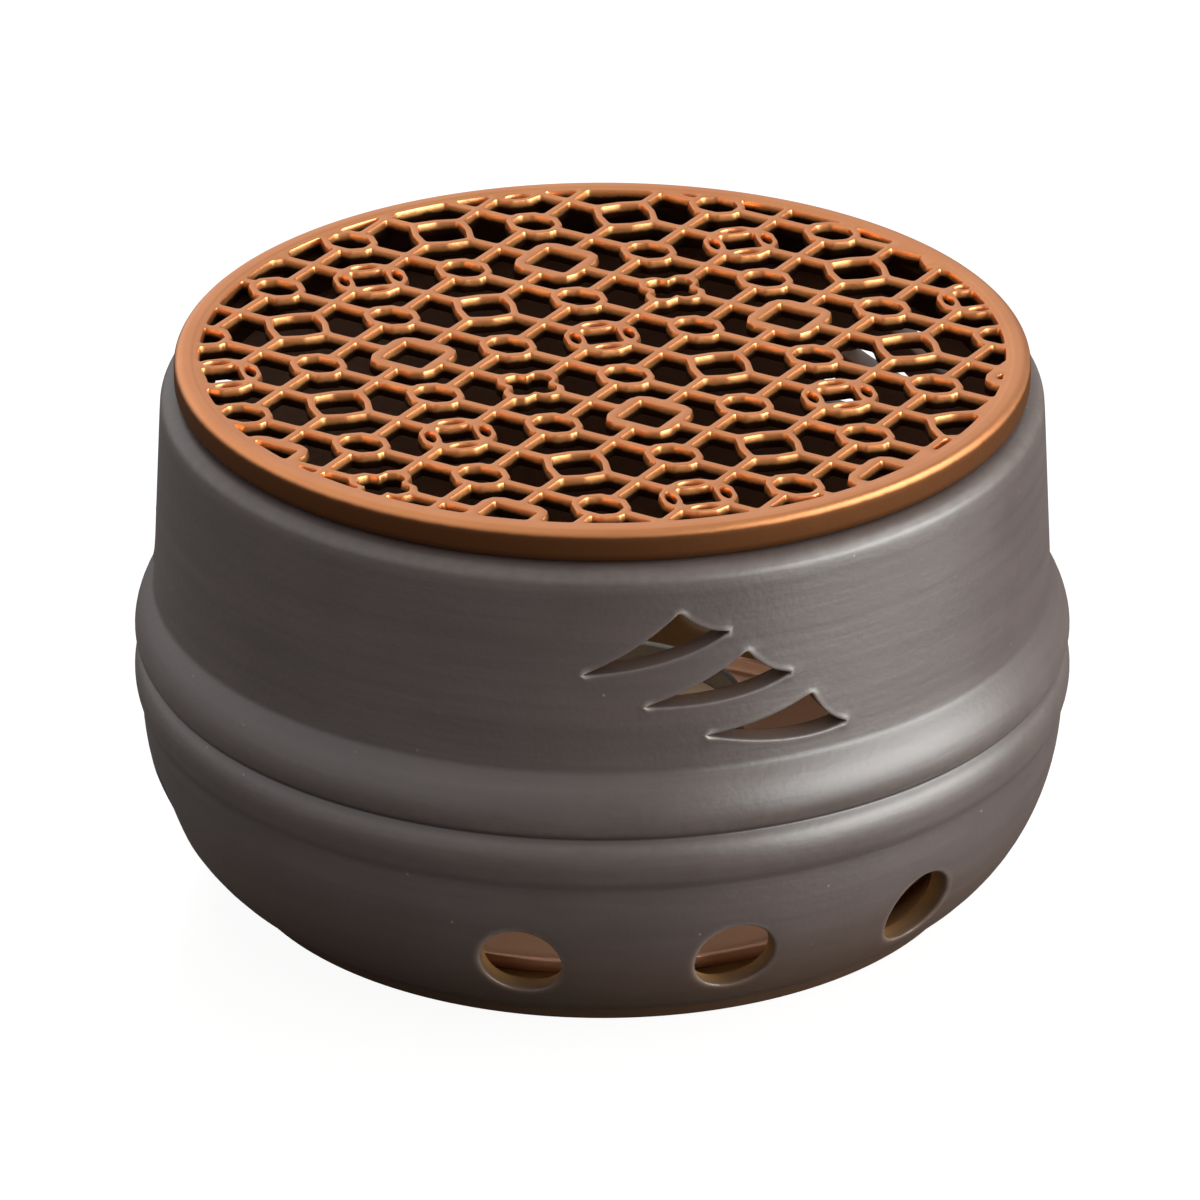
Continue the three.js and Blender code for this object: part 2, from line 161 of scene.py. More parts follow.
def white_room():
    """White to the camera. To surfaces it is bright on one side, dim on the other and overhead."""
    sky = bpy.data.worlds.new("white_room")
    sky.use_nodes = True
    tree = sky.node_tree
    tree.nodes.clear()
    way = add(tree, "ShaderNodeTexCoord", {}, {}).outputs["Generated"]
    facing = add(
        tree, "ShaderNodeVectorMath",
        {"operation": "DOT_PRODUCT", 1: direction(SKY_TURN, SKY_RISE)}, {0: way},
    )
    level = add(
        tree, "ShaderNodeMapRange",
        {
            "interpolation_type": "SMOOTHSTEP", "From Min": DARK_UNTIL,
            "From Max": BRIGHT_FROM, "To Min": SKY_DARK, "To Max": SKY_BRIGHT,
        },
        {"Value": facing.outputs["Value"]},
    )
    rise = add(tree, "ShaderNodeSeparateXYZ", {}, {0: way}).outputs[2]
    overhead = add(
        tree, "ShaderNodeMapRange",
        {
            "interpolation_type": "SMOOTHSTEP", "From Min": DIM_FROM,
            "From Max": DIM_FULL, "To Min": 1.0, "To Max": DIM_SHARE,
        },
        {"Value": rise},
    )
    sky_level = add(
        tree, "ShaderNodeMath", {"operation": "MULTIPLY"},
        {0: level.outputs[0], 1: overhead.outputs[0]},
    )
    seen = add(tree, "ShaderNodeLightPath", {}, {}).outputs["Is Camera Ray"]
    strength = add(tree, "ShaderNodeMix", {3: 1.0}, {0: seen, 2: sky_level.outputs[0]})
    glow = add(
        tree, "ShaderNodeBackground", {"Color": (1, 1, 1, 1)}, {"Strength": strength.outputs[0]}
    )
    add(tree, "ShaderNodeOutputWorld", {}, {"Surface": glow.outputs[0]})
    scene.world = sky


def soft_lamp(name, turn, rise, distance, size, power):
    """A flat lamp that looks at the origin."""
    lamp = bpy.data.lights.new(name, "AREA")
    lamp.shape = "RECTANGLE"
    lamp.size, lamp.size_y = size
    lamp.energy = power
    lamp.color = to_linear(DAYLIGHT)[:3]
    placed = bpy.data.objects.new(name, lamp)
    placed.location = [part * distance for part in direction(turn, rise)]
    placed.rotation_euler = (math.pi / 2 - math.radians(rise), 0, math.radians(turn))
    scene.collection.objects.link(placed)


white_room()
soft_lamp("window", **WINDOW)
soft_lamp("fanlight", **FANLIGHT)
print("sky from", SKY_DARK, "to", SKY_BRIGHT, "and lamps of", WINDOW["power"], FANLIGHT["power"], "W")

# %% [markdown]
# ## The table
# A satin board keeps the warmer's soft shadow, and its sheen carries the window's light up onto
# the wall from below, as a varnished table does. The board is a mid grey, so that it doesn't
# light the belly, and it glows towards the camera only, which makes it look white there.

# %% Satin table
TABLE_HALF = 4.0
TABLE_GAP = 0.00004
TABLE_GLOW = 0.93
TABLE_SATIN = 0.3


def satin_table():
    """A wide flat board that is staged just under the foot ring."""
    mesh = bpy.data.meshes.new("table")
    corners = [(-1, -1), (1, -1), (1, 1), (-1, 1)]
    points = [(x * TABLE_HALF, y * TABLE_HALF, -TABLE_GAP) for x, y in corners]
    mesh.from_pydata(points, [], [(0, 1, 2, 3)])
    table = bpy.data.objects.new("table", mesh)
    scene.collection.objects.link(table)
    material = bpy.data.materials.new("satin_board")
    material.use_nodes = True
    tree = material.node_tree
    tree.nodes.clear()
    board = add(
        tree, "ShaderNodeBsdfPrincipled",
        {"Base Color": to_linear("5a5653"), "Roughness": TABLE_SATIN}, {},
    )
    seen = add(tree, "ShaderNodeLightPath", {}, {}).outputs["Is Camera Ray"]
    share = add(tree, "ShaderNodeMath", {"operation": "MULTIPLY", 1: TABLE_GLOW}, {0: seen})
    glow = add(tree, "ShaderNodeEmission", {}, {"Strength": share.outputs[0]})
    both = add(tree, "ShaderNodeAddShader", {}, {0: board.outputs[0], 1: glow.outputs[0]})
    add(tree, "ShaderNodeOutputMaterial", {}, {"Surface": both.outputs[0]})
    mesh.materials.append(material)


satin_table()
print("table:", TABLE_HALF * 2, "m square, just under the foot ring")

# %% [markdown]
# ## Outlines
# Everything here starts as a flat outline: the drum's section, the shape of a vent, the openings
# of the grate. Clay and cast metal have no sharp corners, so each outline is cut into short even
# steps and then softened: every point becomes an average of its neighbours, weighted by a bell
# curve. The width of the bell is close to the radius that the corners get.

# %% Cut an outline into even steps, and soften it
BELL_REACH = 3
CURVE_STEPS = 40
QUARTER_STEPS = 24
ROUND_SHARE = 0.5523


def even_steps(points, step, closed):
    """The same outline with points every step or so."""
    line = np.asarray(points, float)
    if closed:
        line = np.vstack([line, line[:1]])
    along = np.concatenate([[0], np.cumsum(np.hypot(*np.diff(line, axis=0).T))])
    count = max(int(round(along[-1] / step)), 3)
    marks = np.linspace(0, along[-1], count + 1)
    if closed:
        marks = marks[:-1]
    return np.stack([np.interp(marks, along, line[:, k]) for k in (0, 1)], axis=1)


def softened(points, radius, step, closed=True):
    """Rounds an outline's corners to about that radius. An open outline keeps its ends."""
    line = even_steps(points, step, closed)
    reach = int(math.ceil(BELL_REACH * radius / step))
    offsets = np.arange(-reach, reach + 1)
    bell = np.exp(-0.5 * (offsets * step / radius) ** 2)
    bell /= bell.sum()
    if closed:
        wrapped = [np.roll(line, -k, axis=0) for k in offsets]
        return sum(w * part for w, part in zip(bell, wrapped))
    start = 2 * line[0] - line[reach:0:-1]
    end = 2 * line[-1] - line[-2:-reach - 2:-1]
    long_line = np.vstack([start, line, end])
    smooth = [np.convolve(long_line[:, k], bell, mode="valid") for k in (0, 1)]
    return np.stack(smooth, axis=1)


def curve(start, leave, arrive, end, steps=CURVE_STEPS):
    """A cubic curve between two points, steered by two more."""
    t = np.linspace(0, 1, steps + 1)[:, None]
    corners = [np.asarray(p, float) for p in (start, leave, arrive, end)]
    weights = [(1 - t) ** 3, 3 * t * (1 - t) ** 2, 3 * t ** 2 * (1 - t), t ** 3]
    return sum(w * p for w, p in zip(weights, corners))


def quarter(start, end, upright_first, steps=QUARTER_STEPS):
    """A quarter round that leaves its start upright or level."""
    (x0, y0), (x1, y1) = start, end
    across, up = (x1 - x0) * ROUND_SHARE, (y1 - y0) * ROUND_SHARE
    if upright_first:
        return curve(start, (x0, y0 + up), (x1 - across, y1), end, steps)
    return curve(start, (x0 + across, y0), (x1, y1 - up), end, steps)


def outward(outline):
    """The direction square to a closed outline that runs anticlockwise, away from its inside."""
    ahead = np.roll(outline, -1, axis=0) - np.roll(outline, 1, axis=0)
    square = np.stack([ahead[:, 1], -ahead[:, 0]], axis=1)
    return square / np.linalg.norm(square, axis=1)[:, None]


def area_of(outline):
    """The area of a closed outline, below zero if it runs clockwise."""
    x, y = outline.T
    return 0.5 * float(np.sum(x * np.roll(y, -1) - y * np.roll(x, -1)))


def inside(points, outline):
    """Which of the points lie inside a closed outline."""
    ends = np.roll(outline, -1, axis=0)
    hit = np.zeros(len(points), bool)
    for (x0, y0), (x1, y1) in zip(outline, ends):
        if y0 == y1:
            continue
        crosses = (points[:, 1] < y0) != (points[:, 1] < y1)
        at_x = x0 + (points[:, 1] - y0) * (x1 - x0) / (y1 - y0)
        hit ^= crosses & (points[:, 0] < at_x)
    return hit


square_test = softened([(0, 0), (10, 0), (10, 10), (0, 10)], 1, 0.25)
print("a softened square of 100 mm2 keeps", round(area_of(square_test), 1), "mm2")

# %% [markdown]
# ## From points to a piece
# A turned surface is a grid: its rows are the points of the section, and its columns go round the
# axis. Where something is cut through, the grid is left out and the gap is filled with triangles
# that fit both the grid and the cut. A flat sheet full of openings is filled the same way. The
# triangles come from a constrained Delaunay fill, which keeps them as round as the outlines let.

# %% Build, weld and smooth a mesh
WELD = 0.004 * MM
CREASE = 50.0
FILL_CLOSE = 1e-7


def as_piece(name, points, faces, crease_angle, marks=None):
    """Makes an object from points in millimetres. marks are extra values, one for each point."""
    mesh = bpy.data.meshes.new(name)
    mesh.from_pydata((np.asarray(points) * MM).tolist(), [], faces)
    for mark, values in (marks or {}).items():
        layer = mesh.attributes.new(mark, "FLOAT", "POINT")
        layer.data.foreach_set("value", np.asarray(values, np.float32))
    work = bmesh.new()
    work.from_mesh(mesh)
    bmesh.ops.remove_doubles(work, verts=work.verts, dist=WELD)
    bmesh.ops.dissolve_degenerate(work, edges=work.edges, dist=WELD / 4)
    bmesh.ops.recalc_face_normals(work, faces=work.faces)
    open_edges = sum(1 for edge in work.edges if len(edge.link_faces) != 2)
    work.to_mesh(mesh)
    work.free()
    mesh.shade_smooth()
    mesh.set_sharp_from_angle(angle=math.radians(crease_angle))
    piece = bpy.data.objects.new(name, mesh)
    scene.collection.objects.link(piece)
    print(f"{name}: {len(mesh.polygons)} faces, {open_edges} open edges")
    return piece


def turned_grid(section, columns):
    """Points and faces of a section turned once round the axis, one ring for each point."""
    angles = np.arange(columns) * 2 * math.pi / columns - math.pi
    radius, height = np.asarray(section, float).T
    points = np.stack([
        np.outer(radius, np.sin(angles)),
        np.outer(-radius, np.cos(angles)),
        np.outer(height, np.ones(columns)),
    ], axis=2).reshape(-1, 3)
    faces = []
    for i in range(len(radius) - 1):
        for j in range(columns):
            k = (j + 1) % columns
            a, b = i * columns, (i + 1) * columns
            faces.append((a + j, a + k, b + k, b + j))
    return points, faces


def fill_between(points, loops):
    """Triangles between closed loops of point numbers. Extra points may lie loose between them.
    Nothing is said here about which side of a loop is solid: the caller drops what it cuts."""
    edges = [(a, b) for loop in loops for a, b in zip(loop, np.roll(loop, -1))]
    edges = [(int(a), int(b)) for a, b in edges]
    made = delaunay_2d_cdt([tuple(p) for p in points], edges, [], 0, FILL_CLOSE)
    places, triangles, origins = made[0], made[2], made[3]
    back = [o[0] if o else -1 for o in origins]
    if len(places) != len(points):
        print("fill: points in", len(points), "and out", len(places))
    return [tuple(back[v] for v in t) for t in triangles if min(back[v] for v in t) >= 0]


print("weld distance:", WELD / MM, "mm")

# %% [markdown]
# ## Sizes of the drum
# These are the drum's own measures in millimetres, from the table up: foot, belly, two ribs, wall
# and shoulder. Its total height and the mouth that the grate drops into are read from the frame.

# %% Measures of the drum
drum_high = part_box("stoneware_body")[1]
grate_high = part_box("copper_grate")[1]
DRUM_HEIGHT = drum_high.z / MM
DRUM_REACH = drum_high.x / MM
GRATE_RADIUS = grate_high.x / MM
FIT = 0.3
BAND_WIDTH = 3.4
MOUTH_RADIUS = GRATE_RADIUS - BAND_WIDTH + FIT
SEAT_WIDTH = 1.9
SHOULDER_WIDTH = 3.1
SHOULDER_DROP = 2.0
WALL_TAPER = 1.3
WALL_THICKNESS = 3.5
RIM_DEPTH = 2.6
FOOT_HEIGHT = 2.3
FOOT_RADIUS = 49.0
FOOT_STEP = 1.3
FOOT_BAND = 4.5
FOOT_RECESS = 1.5
FLOOR_THICKNESS = 3.5
FLOOR_CORNER = 10.0
BELLY_HEIGHT = 25.2
LOWER_RIB_HEIGHT = 6.85
UPPER_RIB_HEIGHT = 8.55
RIB_REACH = 2.6
UPPER_GROOVE = 1.2
LOWER_GROOVE = 1.8

WALL_TOP_RADIUS = MOUTH_RADIUS + SEAT_WIDTH + SHOULDER_WIDTH
WALL_FOOT_RADIUS = WALL_TOP_RADIUS + WALL_TAPER
UPPER_GROOVE_Z = BELLY_HEIGHT + LOWER_RIB_HEIGHT
WALL_FOOT_Z = UPPER_GROOVE_Z + UPPER_RIB_HEIGHT
WALL_TOP_Z = DRUM_HEIGHT - SHOULDER_DROP
FLOOR_TOP = FOOT_RECESS + FLOOR_THICKNESS
print("drum:", round(DRUM_HEIGHT, 2), "mm tall and", round(DRUM_REACH * 2, 2), "mm wide")

# %% [markdown]
# ## The drum's section
# A potter shapes the wall with a rib tool while the wheel turns, so the whole drum is one section
# turned round an axis. The outside is drawn as a few curves that meet in two grooves, and the
# inside follows it one wall thickness further in. A kiln softens every edge, and so does this.

# %% Draw the drum's section
BELLY_LOW_SHARE = (0.606, 0.158)
BELLY_HIGH_SHARE = 0.444
RIB_PULL_SHARE = 1.28
RIB_END_SHARE = 0.15
RIB_LEAVE_SHARE = 0.11
RIB_ARRIVE_SHARE = 0.35
GLAZE_ROUND = 0.5
SECTION_STEP = 0.1


def drum_outside():
    """From the foot's crease up to the wall's top."""
    crease = np.array([FOOT_RADIUS + FOOT_STEP, FOOT_HEIGHT])
    low_groove = np.array([WALL_FOOT_RADIUS + LOWER_GROOVE, BELLY_HEIGHT])
    high_groove = (WALL_FOOT_RADIUS + UPPER_GROOVE, UPPER_GROOVE_Z)
    wall_foot = (WALL_FOOT_RADIUS, WALL_FOOT_Z)
    out, up = low_groove - crease
    leave = crease + np.array([out, up]) * BELLY_LOW_SHARE
    arrive = low_groove - np.array([0, up * BELLY_HIGH_SHARE])
    rib_out = WALL_FOOT_RADIUS + RIB_REACH * RIB_PULL_SHARE
    end = RIB_REACH * RIB_END_SHARE
    rise = LOWER_RIB_HEIGHT * RIB_END_SHARE
    lower_rib = curve(
        low_groove, (rib_out - end, BELLY_HEIGHT + rise),
        (rib_out, UPPER_GROOVE_Z - rise), high_groove,
    )
    upper_rib = curve(
        high_groove, (rib_out + end, UPPER_GROOVE_Z + UPPER_RIB_HEIGHT * RIB_LEAVE_SHARE),
        (WALL_FOOT_RADIUS + RIB_REACH, WALL_FOOT_Z - UPPER_RIB_HEIGHT * RIB_ARRIVE_SHARE),
        wall_foot,
    )
    belly = curve(crease, leave, arrive, low_groove)
    wall_top = [(WALL_TOP_RADIUS, WALL_TOP_Z)]
    return np.vstack([belly, lower_rib[1:], upper_rib[1:], wall_top])


def drum_inside():
    """From the rim's foot down to the edge of the flat floor."""
    slope = WALL_TOP_RADIUS - WALL_THICKNESS - MOUTH_RADIUS
    rim_foot = (MOUTH_RADIUS, DRUM_HEIGHT - RIM_DEPTH)
    inner_top = (MOUTH_RADIUS + slope, DRUM_HEIGHT - RIM_DEPTH - slope)
    inner_foot = (WALL_FOOT_RADIUS - WALL_THICKNESS, WALL_FOOT_Z)
    inner_belly = (WALL_FOOT_RADIUS + LOWER_GROOVE - WALL_THICKNESS, BELLY_HEIGHT)
    floor_edge = (inner_belly[0] - FLOOR_CORNER, FLOOR_TOP)
    corner = quarter(floor_edge, inner_belly, False)[::-1]
    return np.vstack([[rim_foot, inner_top, inner_foot], corner])


def drum_section():
    """The whole section, from the middle of the foot up the outside and down to the floor."""
    outside = drum_outside()
    wall_top = tuple(outside[-1])
    seat_edge = (MOUTH_RADIUS + SEAT_WIDTH, DRUM_HEIGHT)
    foot = [
        (0, FOOT_RECESS),
        (FOOT_RADIUS - FOOT_BAND - FOOT_RECESS, FOOT_RECESS),
        (FOOT_RADIUS - FOOT_BAND, 0),
        (FOOT_RADIUS, 0),
    ]
    shoulder = quarter(wall_top, seat_edge, True)[1:]
    mouth = [(MOUTH_RADIUS, DRUM_HEIGHT)]
    raw = np.vstack([foot, outside, shoulder, mouth, drum_inside(), [(0, FLOOR_TOP)]])
    section = softened(raw, GLAZE_ROUND, SECTION_STEP, closed=False)
    section[:, 0] = np.clip(section[:, 0], 0, DRUM_REACH)
    section[:, 1] = np.clip(section[:, 1], 0, DRUM_HEIGHT)
    section[[0, -1], 0] = 0
    return section


def thinned(section, turn, step):
    """Keeps a point where the line has turned by turn degrees, or run on by step."""
    ahead = np.diff(section, axis=0)
    heading = np.unwrap(np.arctan2(ahead[:, 1], ahead[:, 0]))
    length = np.hypot(*ahead.T)
    kept, turned, run = [0], 0.0, 0.0
    for k in range(1, len(section) - 1):
        turned += abs(heading[k] - heading[k - 1])
        run += length[k - 1]
        if turned > math.radians(turn) or run > step:
            kept.append(k)
            turned, run = 0.0, 0.0
    return np.array([*kept, len(section) - 1])


ROW_TURN = 5.0
ROW_STEP = 1.5
fine_section = drum_section()
row_numbers = thinned(fine_section, ROW_TURN, ROW_STEP)
drum_rows = fine_section[row_numbers]
print("drum section:", len(drum_rows), "rows, reach", round(drum_rows[:, 0].max(), 2), "mm")

# %% [markdown]
# ## Where glaze runs thin, with a painted highlight and shade
# Molten glaze pulls away from edges and gathers in hollows. Edges come out paler and grooves
# darker, and on this drum that is most of what the eye reads as pottery. The colour also paints a
# highlight on the edges and shade in the grooves. So each point of the section is marked with how
# much it bends there: above zero on an edge, below zero in a groove.
# A second mark, within, is one on the inside of the drum, where only a thin wash of slip lies.

# %% Mark the bends of the section
BEND_WINDOW = 6
BEND_FULL = 1.6


def bend_marks(section):
    """How sharply the section bends at each point, from -1 in a groove to 1 on an edge."""
    ahead = np.diff(section, axis=0)
    heading = np.unwrap(np.arctan2(ahead[:, 1], ahead[:, 0]))
    turn = np.concatenate([[0], np.diff(heading), [0]])
    spread = np.convolve(turn, np.ones(BEND_WINDOW), mode="same")
    return np.clip(spread / BEND_FULL, -1, 1)


drum_bends = bend_marks(fine_section)[row_numbers]
mouth_row = int(np.argmin(np.hypot(*(fine_section - (MOUTH_RADIUS, DRUM_HEIGHT)).T)))
drum_within = (row_numbers > mouth_row).astype(float)
print("bends run from", round(drum_bends.min(), 2), "to", round(drum_bends.max(), 2))
print("rows inside the drum:", int(drum_within.sum()))

# %% [markdown]
# ## Vents and air holes
# While the clay is leather hard, three groups of three fins are cut with a narrow blade, and
# three air holes under each group with a round cutter. All of them are pushed straight in. The
# blade lifts a small burr where it turns at the corners, and glaze thins on it to a pale nub.

# %% Outlines of the cuts
GROUPS = 3
FIN_LENGTH = 19.3
FIN_LIFT_SHARE = 0.525
FIN_STEP_DOWN_SHARE = 0.172
FIN_FIRST_ARC = 19.9
FIN_STEP_RIGHT = 7.85
FIN_TURNS = (23.0, 15.6, 3.5)
FIN_SHARES = {
    "top": (0.756, 0.14),
    "top_pull": (0.42, 0.01),
    "end": (1.0, -0.14),
    "end_pull": (0.83, -0.06),
    "under_pull": (0.6, -0.2),
}
AIR_HOLE_RADIUS = 5.3
AIR_HOLE_LIFT = 12.7
AIR_HOLE_SPACING = 28.3
AIR_HOLE_POINTS = 96
CUT_STEP = 0.34
FIN_ROUND = 0.22


def bowed(start, pull, end, steps=QUARTER_STEPS):
    """A bow between two points, pulled towards a third."""
    t = np.linspace(0, 1, steps + 1)[:, None]
    a, b, c = (np.asarray(p, float) for p in (start, pull, end))
    return (1 - t) ** 2 * a + 2 * t * (1 - t) * b + t ** 2 * c


def fin_outline():
    """One fin, its tip at the origin and its blunt end to the right, and its three corners."""
    share = {name: np.array(pair) * FIN_LENGTH for name, pair in FIN_SHARES.items()}
    upper = bowed((0, 0), share["top_pull"], share["top"])
    blunt = bowed(share["top"], share["end_pull"], share["end"])
    under = bowed(share["end"], share["under_pull"], (0, 0))
    outline = np.vstack([upper[:-1], blunt[:-1], under[:-1]])[::-1]
    corners = np.array([(0, 0), share["top"], share["end"]])
    return outline, corners


def turned_by(points, degrees):
    """Flat points turned about the origin, to the left if above zero."""
    a = math.radians(degrees)
    spin = np.array([[math.cos(a), math.sin(a)], [-math.sin(a), math.cos(a)]])
    return np.asarray(points, float) @ spin


def wall_radius_at(height):
    """The radius of the plain wall above the ribs."""
    share = (height - WALL_FOOT_Z) / (WALL_TOP_Z - WALL_FOOT_Z)
    return WALL_FOOT_RADIUS - WALL_TAPER * share


def all_cuts():
    """Every cut as its outline, its corners, its angle round the drum and its height."""
    cuts = []
    outline, corners = fin_outline()
    for group in range(GROUPS):
        group_angle = group * 2 * math.pi / GROUPS
        for k, turn in enumerate(FIN_TURNS):
            lift = FIN_LIFT_SHARE - FIN_STEP_DOWN_SHARE * k
            height = WALL_FOOT_Z + (WALL_TOP_Z - WALL_FOOT_Z) * lift
            radius = wall_radius_at(height)
            back = np.array([FIN_LENGTH / 2 * math.cos(math.radians(turn)), 0])
            arc = FIN_STEP_RIGHT * k - FIN_FIRST_ARC + back[0]
            shape = softened(turned_by(outline, turn), FIN_ROUND, CUT_STEP) - back
            nubs = turned_by(corners, turn) - back
            cuts.append(("fin", shape, nubs, group_angle + arc / radius, height))
        for side in (-1, 0, 1):
            around = np.linspace(0, 2 * math.pi, AIR_HOLE_POINTS, endpoint=False)
            ring = AIR_HOLE_RADIUS * np.stack([np.cos(around), np.sin(around)], axis=1)
            angle = group_angle + side * AIR_HOLE_SPACING / WALL_FOOT_RADIUS
            cuts.append(("air_hole", ring, np.zeros((0, 2)), angle, AIR_HOLE_LIFT))
    return cuts


cuts = all_cuts()
print("cuts:", len(cuts), "with", sum(len(c[1]) for c in cuts), "points")

# %% [markdown]
# ## The lip of a cut
# A lip is a short run of rings that follows the outline. Each ring is so far out from the outline
# and so far in from the skin, and below zero it stands proud of the skin: that is the burr. The
# last figure says how pale the colour is there: thin glaze, and partly a painted highlight.

# %% Rings of the lips
FIN_LIP = [
    (1.05, 0.00, 0.0), (0.75, -0.01, 0.1), (0.50, -0.03, 0.4), (0.30, -0.04, 0.9),
    (0.14, -0.02, 1.0), (0.04, 0.08, 0.9), (0.00, 0.28, 0.4), (0.00, 0.90, 0.0),
]
AIR_LIP = [
    (1.30, 0.00, 0.0), (0.85, 0.02, 0.1), (0.50, 0.07, 0.5), (0.25, 0.17, 0.9),
    (0.08, 0.34, 0.8), (0.00, 0.60, 0.3), (0.00, 1.10, 0.0),
]
INNER_LIP = [(0.00, 0.60, 0.0), (0.05, 0.20, 0.2), (0.22, 0.04, 0.2), (0.60, 0.00, 0.0)]
NUB_RAISE = 4.0
NUB_REACH = 0.7
EVEN_THIN_AND_LIT = 0.15
AIR_THIN_AND_LIT = 0.5


def near_corners(outline, corners):
    """1 at a corner of the outline, falling to 0 a little way along."""
    if not len(corners):
        return np.zeros(len(outline))
    gaps = np.linalg.norm(outline[:, None, :] - corners[None, :, :], axis=2).min(axis=1)
    return np.exp(-0.5 * (gaps / NUB_REACH) ** 2)


class Skin:
    """One side of the drum's wall, laid out flat: across is the way round, up is height."""

    def __init__(self, first, last):
        self.first, self.last = first, last
        rows = drum_rows[first:last + 1]
        order = np.argsort(rows[:, 1])
        self.heights, self.radii = rows[order, 1], rows[order, 0]

    def radius_at(self, height):
        return np.interp(height, self.heights, self.radii)

    def place(self, outline, angle, height, inwards, direction):
        """Points of an outline on this skin, and moved straight in along the cut."""
        z = height + outline[:, 1]
        radius = self.radius_at(z)
        deep = np.sqrt(radius ** 2 - outline[:, 0] ** 2) - inwards * direction
        x = outline[:, 0] * math.cos(angle) + deep * math.sin(angle)
        y = outline[:, 0] * math.sin(angle) - deep * math.cos(angle)
        return np.stack([x, y, z], axis=1)

    def flat(self, outline, angle, height):
        """The same points in the flat layout, where across is an angle times one radius."""
        z = height + outline[:, 1]
        turn = angle + np.arcsin(outline[:, 0] / self.radius_at(z))
        turn = (turn + math.pi) % (2 * math.pi) - math.pi
        return np.stack([turn * WALL_FOOT_RADIUS, z], axis=1)


def row_near(radius, height):
    """The row of the section that is nearest to a point."""
    return int(np.argmin(np.hypot(drum_rows[:, 0] - radius, drum_rows[:, 1] - height)))


outer_skin = Skin(
    row_near(FOOT_RADIUS + FOOT_STEP, FOOT_HEIGHT) + 1, row_near(WALL_TOP_RADIUS, WALL_TOP_Z)
)
inner_skin = Skin(
    row_near(MOUTH_RADIUS, DRUM_HEIGHT - RIM_DEPTH) + 1,
    row_near(WALL_FOOT_RADIUS + LOWER_GROOVE - WALL_THICKNESS - FLOOR_CORNER, FLOOR_TOP) - 1,
)
print("outer skin rows:", outer_skin.first, "to", outer_skin.last)
print("inner skin rows:", inner_skin.first, "to", inner_skin.last)

# %% [markdown]
# ## Piercing the wall
# A boolean cut would leave long thin faces round each vent, and they show as dents in a satin
# glaze. So the cuts are built in: the cells of the grid that a lip touches are left out, and the
# space between the grid and the lip's first ring is filled with well shaped triangles.

# %% Build the pierced drum
DRUM_COLUMNS = 192
KEEP_OFF = 0.35


def fill_round_cuts(skin, columns, rings):
    """Faces between the plain grid and the outermost ring of each cut, and the cells left out."""
    rows = range(skin.first, skin.last + 1)
    angles = (np.arange(columns + 1) * 2 * math.pi / columns - math.pi) * WALL_FOOT_RADIUS
    heights = drum_rows[skin.first:skin.last + 1, 1]
    open_cells = np.zeros((len(rows) - 1, columns), bool)
    up = 1 if heights[-1] > heights[0] else -1
    marks = heights * up
    for ring, _ in rings:
        column = np.floor((ring[:, 0] - angles[0]) / (angles[1] - angles[0])).astype(int)
        row = np.searchsorted(marks, ring[:, 1] * up) - 1
        for j in range(column.min() - 1, column.max() + 2):
            strip = ring[(column >= j - 1) & (column <= j + 1)]
            if not len(strip):
                continue
            near = row[(column >= j - 1) & (column <= j + 1)]
            open_cells[max(near.min() - 1, 0):near.max() + 2, j] = True
    corner_used = np.zeros((len(rows), columns + 1), bool)
    for i, j in zip(*np.nonzero(open_cells)):
        corner_used[i:i + 2, j:j + 2] = True
    spots, numbers = [], []
    for i, j in zip(*np.nonzero(corner_used)):
        spots.append((angles[j], heights[i]))
        numbers.append((skin.first + i) * columns + j % columns)
    spots = np.array(spots)
    keep = np.ones(len(spots), bool)
    for ring, _ in rings:
        gaps = np.linalg.norm(spots[:, None, :] - ring[None, :, :], axis=2).min(axis=1)
        keep &= ~inside(spots, ring) & (gaps > KEEP_OFF)
    spots, numbers = list(spots[keep]), [n for n, k in zip(numbers, keep) if k]
    loops = []
    for ring, ring_numbers in rings:
        loops.append(list(range(len(spots), len(spots) + len(ring))))
        spots.extend(ring)
        numbers.extend(ring_numbers)
    spots = np.array(spots)
    triangles = np.array(fill_between(spots, loops))
    middles = spots[triangles].mean(axis=1)
    column = np.floor((middles[:, 0] - angles[0]) / (angles[1] - angles[0])).astype(int)
    row = np.clip(np.searchsorted(marks, middles[:, 1] * up) - 1, 0, len(rows) - 2)
    good = open_cells[row, np.clip(column, 0, columns - 1)]
    for ring, _ in rings:
        good &= ~inside(middles, ring)
    faces = [tuple(numbers[v] for v in t) for t in triangles[good]]
    return faces, open_cells


